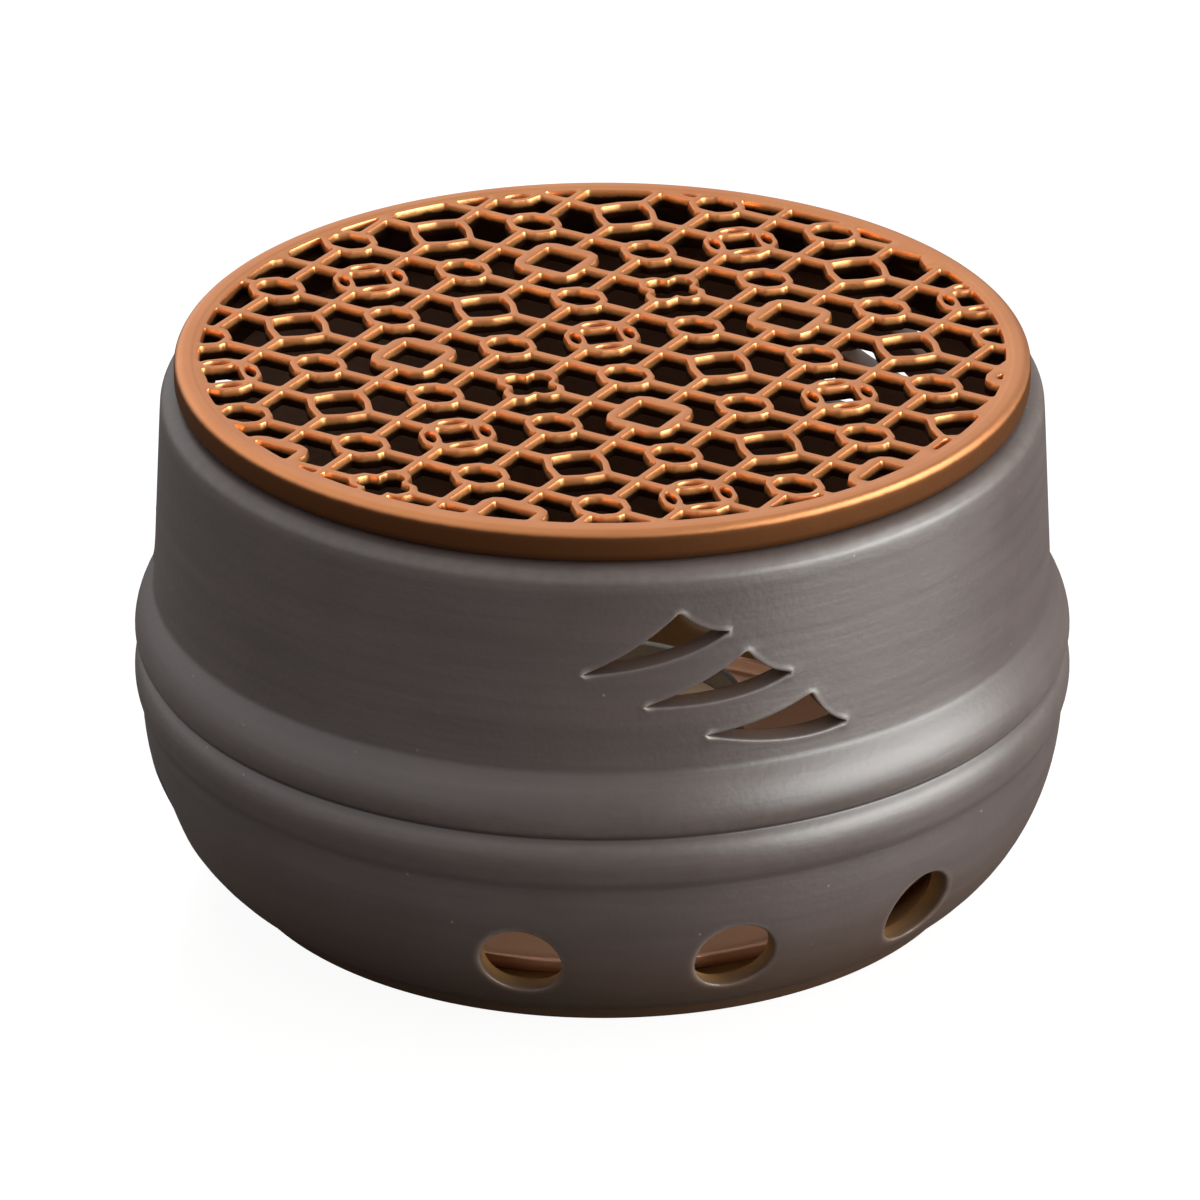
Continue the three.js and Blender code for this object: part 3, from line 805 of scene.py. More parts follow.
def make_drum():
    """The pierced drum: grid, lips, and the fills between them, with its two marks."""
    points, faces = turned_grid(drum_rows, DRUM_COLUMNS)
    points = list(points)
    # Pale on edges and dark in grooves: thinned and pooled glaze, and partly a painted highlight and
    # shade.
    thin_glaze_and_light = list(np.repeat(drum_bends, DRUM_COLUMNS))
    within = list(np.repeat(drum_within, DRUM_COLUMNS))
    outer_rings, inner_rings, lip_faces = [], [], []
    for kind, outline, corners, angle, height in cuts:
        away = outward(outline)
        nub = near_corners(outline, corners)
        lip = FIN_LIP if kind == "fin" else AIR_LIP
        runs = [(outer_skin, 1, *ring) for ring in lip]
        runs += [(inner_skin, -1, *ring) for ring in INNER_LIP]
        numbers = []
        for skin, direction, out, deep, bare_and_lit in runs:
            ring = outline + away * out
            raise_by = 1 + nub * NUB_RAISE * (deep < 0)
            placed = skin.place(ring, angle, height, deep * raise_by, direction)
            numbers.append(np.arange(len(points), len(points) + len(ring)))
            points.extend(placed)
            share = nub * (1 - EVEN_THIN_AND_LIT) + EVEN_THIN_AND_LIT if kind == "fin" else AIR_THIN_AND_LIT
            thin_glaze_and_light.extend(np.clip(bare_and_lit * share * np.ones(len(ring)), 0, 1))
            within.extend(np.full(len(ring), 1.0 if direction < 0 else deep / WALL_THICKNESS))
        first = outline + away * lip[0][0]
        outer_rings.append((outer_skin.flat(first, angle, height), numbers[0]))
        last = outline + away * INNER_LIP[-1][0]
        inner_rings.append((inner_skin.flat(last, angle, height), numbers[-1]))
        for a, b in zip(numbers, numbers[1:]):
            c, d = np.roll(b, -1), np.roll(a, -1)
            lip_faces += [tuple(int(v) for v in quad) for quad in zip(a, b, c, d)]
    left_out = set()
    fills = []
    for skin, rings in ((outer_skin, outer_rings), (inner_skin, inner_rings)):
        made, open_cells = fill_round_cuts(skin, DRUM_COLUMNS, rings)
        fills += made
        for i, j in zip(*np.nonzero(open_cells)):
            left_out.add((skin.first + i) * DRUM_COLUMNS + j)
    plain = [face for k, face in enumerate(faces) if k not in left_out]
    marks = {"thin_glaze_and_light": thin_glaze_and_light, "within": np.clip(within, 0, 1)}
    return as_piece("stoneware_drum", points, plain + fills + lip_faces, CREASE, marks)


drum = make_drum()
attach(drum, "drum")
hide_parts("stoneware_body")

# %% [markdown]
# ## The openwork of the grate
# The grate is one casting: a smooth band round an openwork plate. Its openings are read from the
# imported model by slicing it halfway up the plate. Molten metal fills no sharp corner, so each
# outline is softened by a quarter of a millimetre.

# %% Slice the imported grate
PLATE_THICKNESS = 2.0
PLATE_DROP = 0.1
GRATE_TOP = grate_high.z / MM
PLATE_TOP = GRATE_TOP - PLATE_DROP
PLATE_FOOT = PLATE_TOP - PLATE_THICKNESS
BAND_INNER = GRATE_RADIUS - BAND_WIDTH
WALL_SNAP = 0.16
OPENING_STEP = 0.24
OPENING_ROUND = 0.25
LEAST_OPENING = 0.5


def outlines_at(node_name, height):
    """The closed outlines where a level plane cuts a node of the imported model."""
    work = bmesh.new()
    work.from_mesh(bpy.data.objects[node_name].data)
    bmesh.ops.remove_doubles(work, verts=work.verts, dist=WELD)
    everything = work.verts[:] + work.edges[:] + work.faces[:]
    cut = bmesh.ops.bisect_plane(
        work, geom=everything, plane_co=(0, 0, height * MM), plane_no=(0, 0, 1)
    )
    work.verts.index_update()
    left, places = {}, {}
    for edge in cut["geom_cut"]:
        if isinstance(edge, bmesh.types.BMEdge):
            a, b = edge.verts
            left.setdefault(a.index, set()).add(b.index)
            left.setdefault(b.index, set()).add(a.index)
            places[a.index], places[b.index] = a.co / MM, b.co / MM
    work.free()
    outlines = []
    while left:
        here, outline = next(iter(left)), []
        while here in left:
            ahead = left[here].pop()
            left[ahead].discard(here)
            outline.append(places[here][:2])
            for spot in (here, ahead):
                if spot in left and not left[spot]:
                    del left[spot]
            here = ahead
        outlines.append(np.array(outline))
    return outlines


def softened_openings():
    """The openings of the plate as even, softened outlines that end on the band's inside."""
    openings = []
    for outline in outlines_at("copper_grate", PLATE_TOP - PLATE_THICKNESS / 2):
        radius = np.hypot(*outline.T)
        if radius.max() > BAND_INNER + 1 or abs(area_of(outline)) < LEAST_OPENING:
            continue
        if area_of(outline) < 0:
            outline = outline[::-1]
        outline = even_steps(outline, OPENING_STEP, True)
        radius = np.hypot(*outline.T)
        on_wall = radius > BAND_INNER - WALL_SNAP
        outline[on_wall] *= (BAND_INNER / radius[on_wall])[:, None]
        openings.append(softened(outline, OPENING_ROUND, OPENING_STEP))
    return openings


openings = softened_openings()
print("openings:", len(openings), "with", sum(len(o) for o in openings), "points")

# %% [markdown]
# ## Soft edges on the bars
# A casting needs draft to leave its mould, so the walls of the openings lean back a little near
# the top, and years of pots slid over them have rounded the edge. That slope catches the window
# as a gold line under each edge, and a painted gold highlight in the copper's colour adds to it.
# It is smaller where a bar is thin, so the room beside each point is measured first.

# %% Measure the bars and build the grate
EDGE_ROUND = 0.08
DRAFT_WIDTH = 0.15
DRAFT_DEPTH = 0.85
DRAFT_POWER = 1.5
DRAFT_PARTS = 4
UNDER_ROUND = 0.2
EDGE_PARTS = 2
UNDER_PARTS = 2
ROOM_FULL = 0.8
ROOM_SHARE = 0.7
FACING = -0.2
BAND_COLUMNS = 384
BAND_START = BAND_INNER + 0.75
RISE_WIDTH = 0.6
RISE_SHARES = (0.3, 0.9, 1.0)
BAND_EDGE_ROUND = 1.3
BAND_EDGE_STEPS = 10
BAND_FOOT_ROUND = 1.5
BAND_FOOT_STEPS = 8
LIP_WIDTH = 1.4
LIP_DEPTH = 3.0
LIP_CHAMFER = 0.4
LIP_EASE = 0.2
LIP_ROOT = 0.5
LIP_SINK = 0.04
SEAT_SINK = 0.03
GRATE_CREASE = 40.0


def room_beside(outlines):
    """Half the width of the metal beside each point, up to a full width."""
    spots = np.vstack(outlines)
    away = np.vstack([outward(outline) for outline in outlines])
    tree = KDTree(len(spots))
    for k, spot in enumerate(spots):
        tree.insert((*spot, 0), k)
    tree.balance()
    room = np.full(len(spots), ROOM_FULL)
    for k, spot in enumerate(spots):
        for place, other, gap in tree.find_range((*spot, 0), ROOM_FULL * 2):
            facing = away[k] @ away[other] < FACING
            if facing and away[k] @ (spots[other] - spot) > 0:
                room[k] = min(room[k], gap / 2)
    ends = np.cumsum([len(outline) for outline in outlines])[:-1]
    return np.split(room, ends)


def edge_rings(room):
    """How far out and how high each ring of an opening lies, from the top face to the bottom."""
    full = np.full(len(room), DRAFT_WIDTH + EDGE_ROUND)
    scale = np.minimum(full, room * ROOM_SHARE) / full
    edge, draft = EDGE_ROUND * scale, DRAFT_WIDTH * scale
    under = np.minimum(UNDER_ROUND, room * ROOM_SHARE)
    rings = []
    for k in range(EDGE_PARTS, 0, -1):
        angle = k / EDGE_PARTS * math.pi / 2
        rings.append((draft + edge * (1 - math.cos(angle)), PLATE_TOP - edge * (1 - math.sin(angle))))
    for k in range(DRAFT_PARTS + 1):
        t = k / DRAFT_PARTS
        rings.append((draft * (1 - t) ** DRAFT_POWER, PLATE_TOP - edge - DRAFT_DEPTH * t * scale))
    for k in range(UNDER_PARTS + 1):
        angle = k / UNDER_PARTS * math.pi / 2
        rings.append((under * (1 - math.cos(angle)), PLATE_FOOT + under * (1 - math.sin(angle))))
    return rings


def cut_out(points, triangles, loops):
    """Drops the triangles that lie inside a loop."""
    points, triangles = np.asarray(points), np.asarray(triangles)
    middles = points[triangles].mean(axis=1)
    keep = np.ones(len(triangles), bool)
    for loop in loops:
        ring = points[loop]
        near = (middles > ring.min(axis=0)) & (middles < ring.max(axis=0))
        near = np.nonzero(near.all(axis=1))[0]
        keep[near[inside(middles[near], ring)]] = False
    return triangles[keep]


def band_section():
    """The band's section, from the plate's top face over the edge and back under the plate."""
    top, seat = GRATE_TOP, DRUM_HEIGHT
    edge = quarter(
        (GRATE_RADIUS - BAND_EDGE_ROUND, top), (GRATE_RADIUS, top - BAND_EDGE_ROUND),
        False, BAND_EDGE_STEPS,
    )
    foot = quarter(
        (GRATE_RADIUS, seat + BAND_FOOT_ROUND), (GRATE_RADIUS - BAND_FOOT_ROUND, seat),
        True, BAND_FOOT_STEPS,
    )
    start, third = (BAND_START, PLATE_TOP), RISE_WIDTH / 3
    rise = [
        (BAND_START + third * (k + 1), PLATE_TOP + PLATE_DROP * share)
        for k, share in enumerate(RISE_SHARES)
    ]
    ends = [(BAND_START, seat), (BAND_START, PLATE_FOOT)]
    return np.vstack([[start], rise, edge, foot, ends])


def lip_section():
    """The ring under the plate that keeps the grate centred in the drum's mouth."""
    seat = DRUM_HEIGHT
    inner, outer = BAND_INNER - LIP_WIDTH, BAND_INNER
    foot, deep = seat - LIP_DEPTH, BAND_START + LIP_ROOT
    root = PLATE_FOOT + LIP_SINK
    return np.array([
        (inner, root), (inner, foot + LIP_EASE), (inner + LIP_EASE, foot),
        (outer - LIP_CHAMFER, foot), (outer, foot + LIP_CHAMFER), (outer, seat + SEAT_SINK),
        (deep, seat + SEAT_SINK * 2), (deep, root), (inner, root),
    ])


def make_grate():
    """The band, the openwork plate inside it and the lip under it."""
    points, faces = turned_grid(band_section(), BAND_COLUMNS)
    points = list(points)
    rim = np.arange(BAND_COLUMNS)
    top_loops, under_loops = [], []
    for outline, room in zip(openings, room_beside(openings)):
        away = outward(outline)
        numbers = []
        for out, height in edge_rings(room):
            ring = outline + away * np.asarray(out)[:, None]
            numbers.append(np.arange(len(points), len(points) + len(ring)))
            points.extend(np.column_stack([ring, height]))
        top_loops.append(numbers[0])
        under_loops.append(numbers[-1])
        for a, b in zip(numbers, numbers[1:]):
            c, d = np.roll(b, -1), np.roll(a, -1)
            faces += [tuple(int(v) for v in quad) for quad in zip(a, b, c, d)]
    points = np.array(points)
    last_rim = rim + (len(band_section()) - 1) * BAND_COLUMNS
    for loops, outer in ((top_loops, rim), (under_loops, last_rim)):
        used = np.concatenate([outer, *loops])
        starts = np.cumsum([0, len(outer)] + [len(loop) for loop in loops])
        local = [np.arange(a, b) for a, b in zip(starts, starts[1:])]
        flat = points[used][:, :2]
        triangles = cut_out(flat, fill_between(flat, local), local[1:])
        faces += [tuple(int(v) for v in used[t]) for t in triangles]
    lip_points, lip_faces = turned_grid(lip_section(), BAND_COLUMNS)
    faces += [tuple(v + len(points) for v in face) for face in lip_faces]
    return as_piece("cast_copper_grate", np.vstack([points, lip_points]), faces, GRATE_CREASE)


grate = make_grate()
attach(grate, "grate")
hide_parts("copper_grate")

# %% [markdown]
# ## The saucer
# A disc of copper sheet spun over a form: a flat floor, a flared edge, and a low bead that keeps
# the tealight in the middle. Its cut edge is rolled smooth.

# %% Spin the saucer
SAUCER_THICKNESS = 1.0
SAUCER_HEIGHT = 2.4
SAUCER_FLARE = 1.3
SAUCER_GAP = 1.8
CUP_RADIUS = 19.2
BEAD_WIDTH = 1.4
BEAD_HEIGHT = 1.25
BEAD_ROUND_SHARE = 0.3
FLARE_STEPS = 16
SHEET_ROUND = 0.16
SHEET_STEP = 0.05
SHEET_TURN = 10.0
SHEET_ROW_STEP = 2.5
SAUCER_COLUMNS = 256
SAUCER_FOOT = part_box("candle_saucer")[0].z / MM


def make_saucer():
    """The dish, turned from its section on the drum's floor."""
    floor_edge = WALL_FOOT_RADIUS + LOWER_GROOVE - WALL_THICKNESS - FLOOR_CORNER
    flat = floor_edge - SAUCER_GAP
    edge = flat + SAUCER_FLARE
    bead_in = CUP_RADIUS + FIT
    bead_out = bead_in + BEAD_WIDTH
    bead_top = SAUCER_THICKNESS + BEAD_HEIGHT
    edge_under = (edge, SAUCER_HEIGHT - SAUCER_THICKNESS)
    edge_inner = (edge - SAUCER_THICKNESS, SAUCER_HEIGHT)
    flat_top = (flat - SAUCER_THICKNESS, SAUCER_THICKNESS)
    half = SAUCER_FLARE / 2
    under = curve((flat, 0), (flat + half, 0), edge_under, edge_under, FLARE_STEPS)
    over_pull = (flat_top[0] + half, flat_top[1])
    over = curve(edge_inner, edge_inner, over_pull, flat_top, FLARE_STEPS)
    ease = BEAD_WIDTH * BEAD_ROUND_SHARE
    raw = np.vstack([
        [(0, 0)], under, [(edge, SAUCER_HEIGHT)], over,
        [(bead_out, SAUCER_THICKNESS), (bead_out - ease, bead_top)],
        [(bead_in + ease, bead_top), (bead_in, SAUCER_THICKNESS), (0, SAUCER_THICKNESS)],
    ])
    section = softened(raw, SHEET_ROUND, SHEET_STEP, closed=False)
    section[[0, -1], 0] = 0
    section = section[thinned(section, SHEET_TURN, SHEET_ROW_STEP)]
    section[:, 1] += SAUCER_FOOT
    points, faces = turned_grid(section, SAUCER_COLUMNS)
    return as_piece("spun_copper_saucer", points, faces, CREASE)


saucer = make_saucer()
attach(saucer, "saucer")
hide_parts("candle_saucer")

# %% [markdown]
# ## The tealight
# A tealight cup is drawn from thin aluminium, which leaves fine flutes down its wall, and its rim
# is rolled outwards. The wax was poured hot: it climbs a little at the cup and at the wick. The
# wick is a flat braid of cotton, held by a pressed steel tab that lies under the wax.

# %% Make the cup, the wax and the wick
CUP_HEIGHT = 16.0
CUP_WALL = 0.5
CUP_DRAFT = 0.5
CUP_RIM = 0.6
FOIL_ROUND = 0.13
FOIL_STEP = 0.04
FOIL_TURN = 14.0
FLUTES = 64
FLUTE_COLUMNS = 6
FLUTE_DEPTH = 0.07
FLUTE_FADE = 2.0
WAX_HEIGHT = 12.0
WAX_DISH = 0.6
WAX_CLIMB = 0.5
WAX_CLIMB_REACH = 1.2
WAX_GAP = 0.06
WAX_POINTS = 40
WAX_COLUMNS = 128
TAB_ROOM_RADIUS = 6.8
TAB_ROOM_HEIGHT = 4.4
WICK_RADIUS = 0.8
WICK_STRANDS = 3
WICK_STRAND = 0.36
WICK_SIDES = 8
WICK_SWAY = (0.4, 0.2)
WICK_PERIOD = 2.4
WICK_STEP = 0.2
WICK_GAP = 0.02
WICK_CREASE = 60.0
cup_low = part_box("tealight_cup")[0]
wax_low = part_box("tealight_wax")[0]
wick_low, wick_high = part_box("wick")


def make_cup():
    """The fluted cup, turned and then drawn in along each flute."""
    foot = CUP_RADIUS - CUP_DRAFT
    body_top = CUP_HEIGHT - CUP_RIM
    top = CUP_RADIUS - CUP_RIM / 2
    raw = [
        (0, 0), (foot, 0), (top, body_top - CUP_RIM), (CUP_RADIUS, body_top),
        (CUP_RADIUS - CUP_RIM / 2, CUP_HEIGHT), (top - CUP_WALL, body_top),
        (foot - CUP_WALL, CUP_WALL), (0, CUP_WALL),
    ]
    section = softened(raw, FOIL_ROUND, FOIL_STEP, closed=False)
    section[[0, -1], 0] = 0
    section = section[thinned(section, FOIL_TURN, SHEET_ROW_STEP)]
    columns = FLUTES * FLUTE_COLUMNS
    points, faces = turned_grid(section, columns)
    wave = np.cos(np.arange(columns) * 2 * math.pi / FLUTE_COLUMNS)
    on_wall = np.clip(section[:, 0] - foot + 1, 0, 1) * np.clip(section[:, 1], 0, 1)
    on_wall *= np.clip((body_top - section[:, 1]) / FLUTE_FADE, 0, 1)
    scale = 1 - np.outer(on_wall, wave + 1).ravel() * FLUTE_DEPTH / 2 / CUP_RADIUS
    points[:, :2] *= scale[:, None]
    points[:, 2] += cup_low.z / MM
    return as_piece("drawn_aluminium_cup", points, faces, CREASE)


def make_wax():
    """The wax, dished on top, with room in the middle for the tab and the wick."""
    foot = CUP_RADIUS - CUP_DRAFT - CUP_WALL - WAX_GAP - FLUTE_DEPTH
    top = foot + (CUP_DRAFT - CUP_RIM / 2) * WAX_HEIGHT / CUP_HEIGHT
    inner = WICK_RADIUS + WAX_GAP
    radius = np.linspace(top, inner, WAX_POINTS)
    dish = WAX_DISH * (1 - (radius / top) ** 2)
    climb = np.exp(-(top - radius) / WAX_CLIMB_REACH) + np.exp(-(radius - inner) / WAX_CLIMB_REACH)
    upper = np.column_stack([radius, WAX_HEIGHT - dish - WAX_CLIMB * (1 - climb)])
    tab_edge, tab_top = (TAB_ROOM_RADIUS, 0), (TAB_ROOM_RADIUS, TAB_ROOM_HEIGHT)
    room = [(inner, TAB_ROOM_HEIGHT), tab_top, tab_edge]
    raw = np.vstack([[tab_edge, (foot, 0)], upper, room])
    raw[:, 1] = np.minimum(raw[:, 1], WAX_HEIGHT)
    points, faces = turned_grid(raw, WAX_COLUMNS)
    points[:, 2] += wax_low.z / MM
    return as_piece("poured_wax", points, faces, CREASE)


def make_wick():
    """Three strands that pass over and under each other, each a thin tube."""
    low, high = wick_low.z / MM, wick_high.z / MM
    points, faces, sides = [], [], WICK_SIDES
    heights = np.arange(low + WICK_GAP, high - WICK_GAP, WICK_STEP)
    around = np.arange(sides) * 2 * math.pi / sides
    for strand in range(WICK_STRANDS):
        start = len(points)
        for height in heights:
            phase = 2 * math.pi * (height / WICK_PERIOD + strand / WICK_STRANDS)
            x, y = WICK_SWAY[0] * math.sin(phase), WICK_SWAY[1] * math.sin(2 * phase)
            for angle in around:
                side = (math.cos(angle) * WICK_STRAND, math.sin(angle) * WICK_STRAND)
                points.append((x + side[0], y + side[1], height))
        for i in range(len(heights) - 1):
            for j in range(sides):
                a, b = start + i * sides, start + (i + 1) * sides
                k = (j + 1) % sides
                faces.append((a + j, a + k, b + k, b + j))
        faces.append(tuple(range(start + sides - 1, start - 1, -1)))
        faces.append(tuple(range(len(points) - sides, len(points))))
    return as_piece("braided_wick", points, faces, WICK_CREASE)


for piece, node, slot in (
    (make_cup(), "tealight_cup", "aluminium_foil"),
    (make_wax(), "tealight_wax", "candle_wax"),
    (make_wick(), "wick", "cotton_wick"),
):
    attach(piece, "tealight")
    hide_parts(node)

# %% [markdown]
# ## Dark satin glaze
# The drum has a dark, iron-rich glaze fired to a satin skin. It shows the soft rings that fingers
# leave on the wheel, a cloudy tone where the glaze lies thick or thin, and pale specks of grit
# that came through. Glaze thins on edges and pools in grooves, and one mark tells where. Its pale
# edges are partly a painted highlight, and its dark grooves are partly painted shade.
# The inside has only a brown wash, matt from the heat, and the mark called within leads to it.
# The inside turns lighter and golden below about 14 to 21 mm, round the air holes and on the
# floor. The raw clay near the foot burns to a warmer brown through the thin glaze there.

# %% Material: satin stoneware glaze
# In mm: the finger rings, the orange peel of the skin, clouds, patches on the pale edges, grit and two
# heights.
RING_WIDTH = 2.2
RING_SQUASH = 0.06
RING_DEPTH = 0.1
PEEL_WIDTH = 0.9
PEEL_DEPTH = 0.06
CLOUD_WIDTH = 16.0
EDGE_PATCH_WIDTH = 1.6
SPECK_SPACING = 5.0
FOOT_BROWN = (1.0, 19.0)
GOLDEN_LOW_HEIGHTS = (14.0, 21.0)


def make_glaze():
    """Gives a soft, dark grey-brown skin with faint level rings and sparse pale specks."""
    material, tree, surface, in_mm = new_material("satin_dark_glaze")
    cloud = add(
        tree, "ShaderNodeTexNoise", {"Scale": 1 / CLOUD_WIDTH, "Detail": 5.0, "Roughness": 0.6},
        {"Vector": in_mm},
    )
    clouds = add(
        tree, "ShaderNodeMix",
        {"data_type": "RGBA", 6: to_linear("413633"), 7: to_linear("524644")},
        {0: cloud.outputs[0]},
    )
    squashed = add(
        tree, "ShaderNodeVectorMath",
        {"operation": "MULTIPLY", 1: (RING_SQUASH, RING_SQUASH, 1.0)}, {0: in_mm},
    )
    rings = add(
        tree, "ShaderNodeTexNoise", {"Scale": 1 / RING_WIDTH, "Detail": 3.0, "Roughness": 0.6},
        {"Vector": squashed.outputs[0]},
    )
    ring_tone = add(
        tree, "ShaderNodeMapRange",
        {"From Min": 0.35, "From Max": 0.65, "To Min": 0.91, "To Max": 1.09},
        {"Value": rings.outputs[0]},
    )
    ringed = add(
        tree, "ShaderNodeVectorMath", {"operation": "SCALE"},
        {0: clouds.outputs[2], "Scale": ring_tone.outputs[0]},
    )
    # Pale edges: thin glaze, and partly a painted highlight.
    thin_glaze_and_light = add(tree, "ShaderNodeAttribute", {"attribute_name": "thin_glaze_and_light"}, {})
    edge_patch_noise = add(
        tree, "ShaderNodeTexNoise", {"Scale": 1 / EDGE_PATCH_WIDTH, "Detail": 4.0}, {"Vector": in_mm}
    )
    bare_and_lit = add(
        tree, "ShaderNodeMath", {"operation": "MULTIPLY", "use_clamp": True},
        {0: thin_glaze_and_light.outputs["Fac"], 1: edge_patch_noise.outputs[0]},
    )
    pale_edged_and_lit = add(
        tree, "ShaderNodeMix", {"data_type": "RGBA", 7: to_linear("a99c92")},
        {0: bare_and_lit.outputs[0], 6: ringed.outputs[0]},
    )
    # Dark grooves: pooled glaze, and partly painted shade.
    pooled_and_shade_share = add(
        tree, "ShaderNodeMath", {"operation": "MULTIPLY", 1: -0.75, "use_clamp": True},
        {0: thin_glaze_and_light.outputs["Fac"]},
    )
    pooled_and_shaded = add(
        tree, "ShaderNodeMix", {"data_type": "RGBA", 7: to_linear("231c19")},
        {0: pooled_and_shade_share.outputs[0], 6: pale_edged_and_lit.outputs[2]},
    )
    specks = add(
        tree, "ShaderNodeTexVoronoi", {"Scale": 1 / SPECK_SPACING, "Randomness": 1.0},
        {"Vector": in_mm},
    )
    speck_share = add(
        tree, "ShaderNodeMapRange",
        {"From Min": 0.02, "From Max": 0.05, "To Min": 0.4, "To Max": 0.0},
        {"Value": specks.outputs["Distance"]},
    )
    specked = add(
        tree, "ShaderNodeMix", {"data_type": "RGBA", 7: to_linear("9c948d")},
        {0: speck_share.outputs[0], 6: pooled_and_shaded.outputs[2]},
    )
    height = add(tree, "ShaderNodeSeparateXYZ", {}, {0: in_mm})
    foot_share = add(
        tree, "ShaderNodeMapRange",
        {"From Min": FOOT_BROWN[0], "From Max": FOOT_BROWN[1], "To Min": 0.95, "To Max": 0.0},
        {"Value": height.outputs[2]},
    )
    footed = add(
        tree, "ShaderNodeMix", {"data_type": "RGBA", 7: to_linear("452c17")},
        {0: foot_share.outputs[0], 6: specked.outputs[2]},
    )
    # Lighter and golden towards the bottom of the inside.
    golden_low_share = add(
        tree, "ShaderNodeMapRange",
        {"From Min": GOLDEN_LOW_HEIGHTS[0], "From Max": GOLDEN_LOW_HEIGHTS[1], "To Min": 1.0, "To Max": 0.0},
        {"Value": height.outputs[2]},
    )
    wash = add(
        tree, "ShaderNodeMix",
        {"data_type": "RGBA", 6: to_linear("5b3d27"), 7: to_linear("94682f")},
        {0: golden_low_share.outputs[0]},
    )
    within = add(tree, "ShaderNodeAttribute", {"attribute_name": "within"}, {}).outputs["Fac"]
    washed = add(
        tree, "ShaderNodeMix", {"data_type": "RGBA"},
        {0: within, 6: footed.outputs[2], 7: wash.outputs[2]},
    )
    tree.links.new(washed.outputs[2], surface.inputs["Base Color"])
    sheen = add(
        tree, "ShaderNodeMapRange", {"To Min": 0.39, "To Max": 0.47}, {"Value": cloud.outputs[0]}
    )
    dulled = add(
        tree, "ShaderNodeMath", {"operation": "MULTIPLY_ADD", 1: 0.35},
        {0: within, 2: sheen.outputs[0]},
    )
    tree.links.new(dulled.outputs[0], surface.inputs["Roughness"])
    surface.inputs["Specular IOR Level"].default_value = 0.8
    peel = add(
        tree, "ShaderNodeTexNoise", {"Scale": 1 / PEEL_WIDTH, "Detail": 2.0}, {"Vector": in_mm}
    )
    waves = add(
        tree, "ShaderNodeBump", {"Strength": 0.5, "Distance": RING_DEPTH * MM},
        {"Height": rings.outputs[0]},
    )
    skin = add(
        tree, "ShaderNodeBump", {"Strength": 0.5, "Distance": PEEL_DEPTH * MM},
        {"Height": peel.outputs[0], "Normal": waves.outputs[0]},
    )
    tree.links.new(skin.outputs[0], surface.inputs["Normal"])
    return material


drum.data.materials.append(make_glaze())
print("glaze:", drum.data.materials[0].name)

# %% [markdown]
# ## Antique copper casting
# The casting is plated with copper, darkened all over, and rubbed bright again on top. Just under
# the top edges, a painted gold highlight stands for walls that catch the window. Below that, the
# walls of the openings darken with depth, as patina and partly painted shade. The band's side
# darkens too, as patina and partly a painted dark reflection. Noise makes the border uneven. The
# patina is an oxide, so it is matt as well as dark.

# %% Material: antique cast copper
# Casting sand is finer than this grain, which is drawn as coarse as it needs to show.
GRAIN_WIDTH = 0.7
GRAIN_DEPTH = 0.06
TINT_WIDTH = 14.0
PATCH_WIDTH = 2.5
PATCH_SHIFT = 0.4
# Depths below the top face in mm: a painted gold highlight, then patina with painted shade in the
# openings and down the band's side.
GOLD_HIGHLIGHT_DEPTH = (0.1, 0.6)
WALL_PATINA_AND_SHADE = (0.45, 1.15)
SIDE_PATINA_AND_SHADE = (0.1, 0.9)
SIDE_RADIUS = (GRATE_RADIUS - 1.1, GRATE_RADIUS - 0.3)


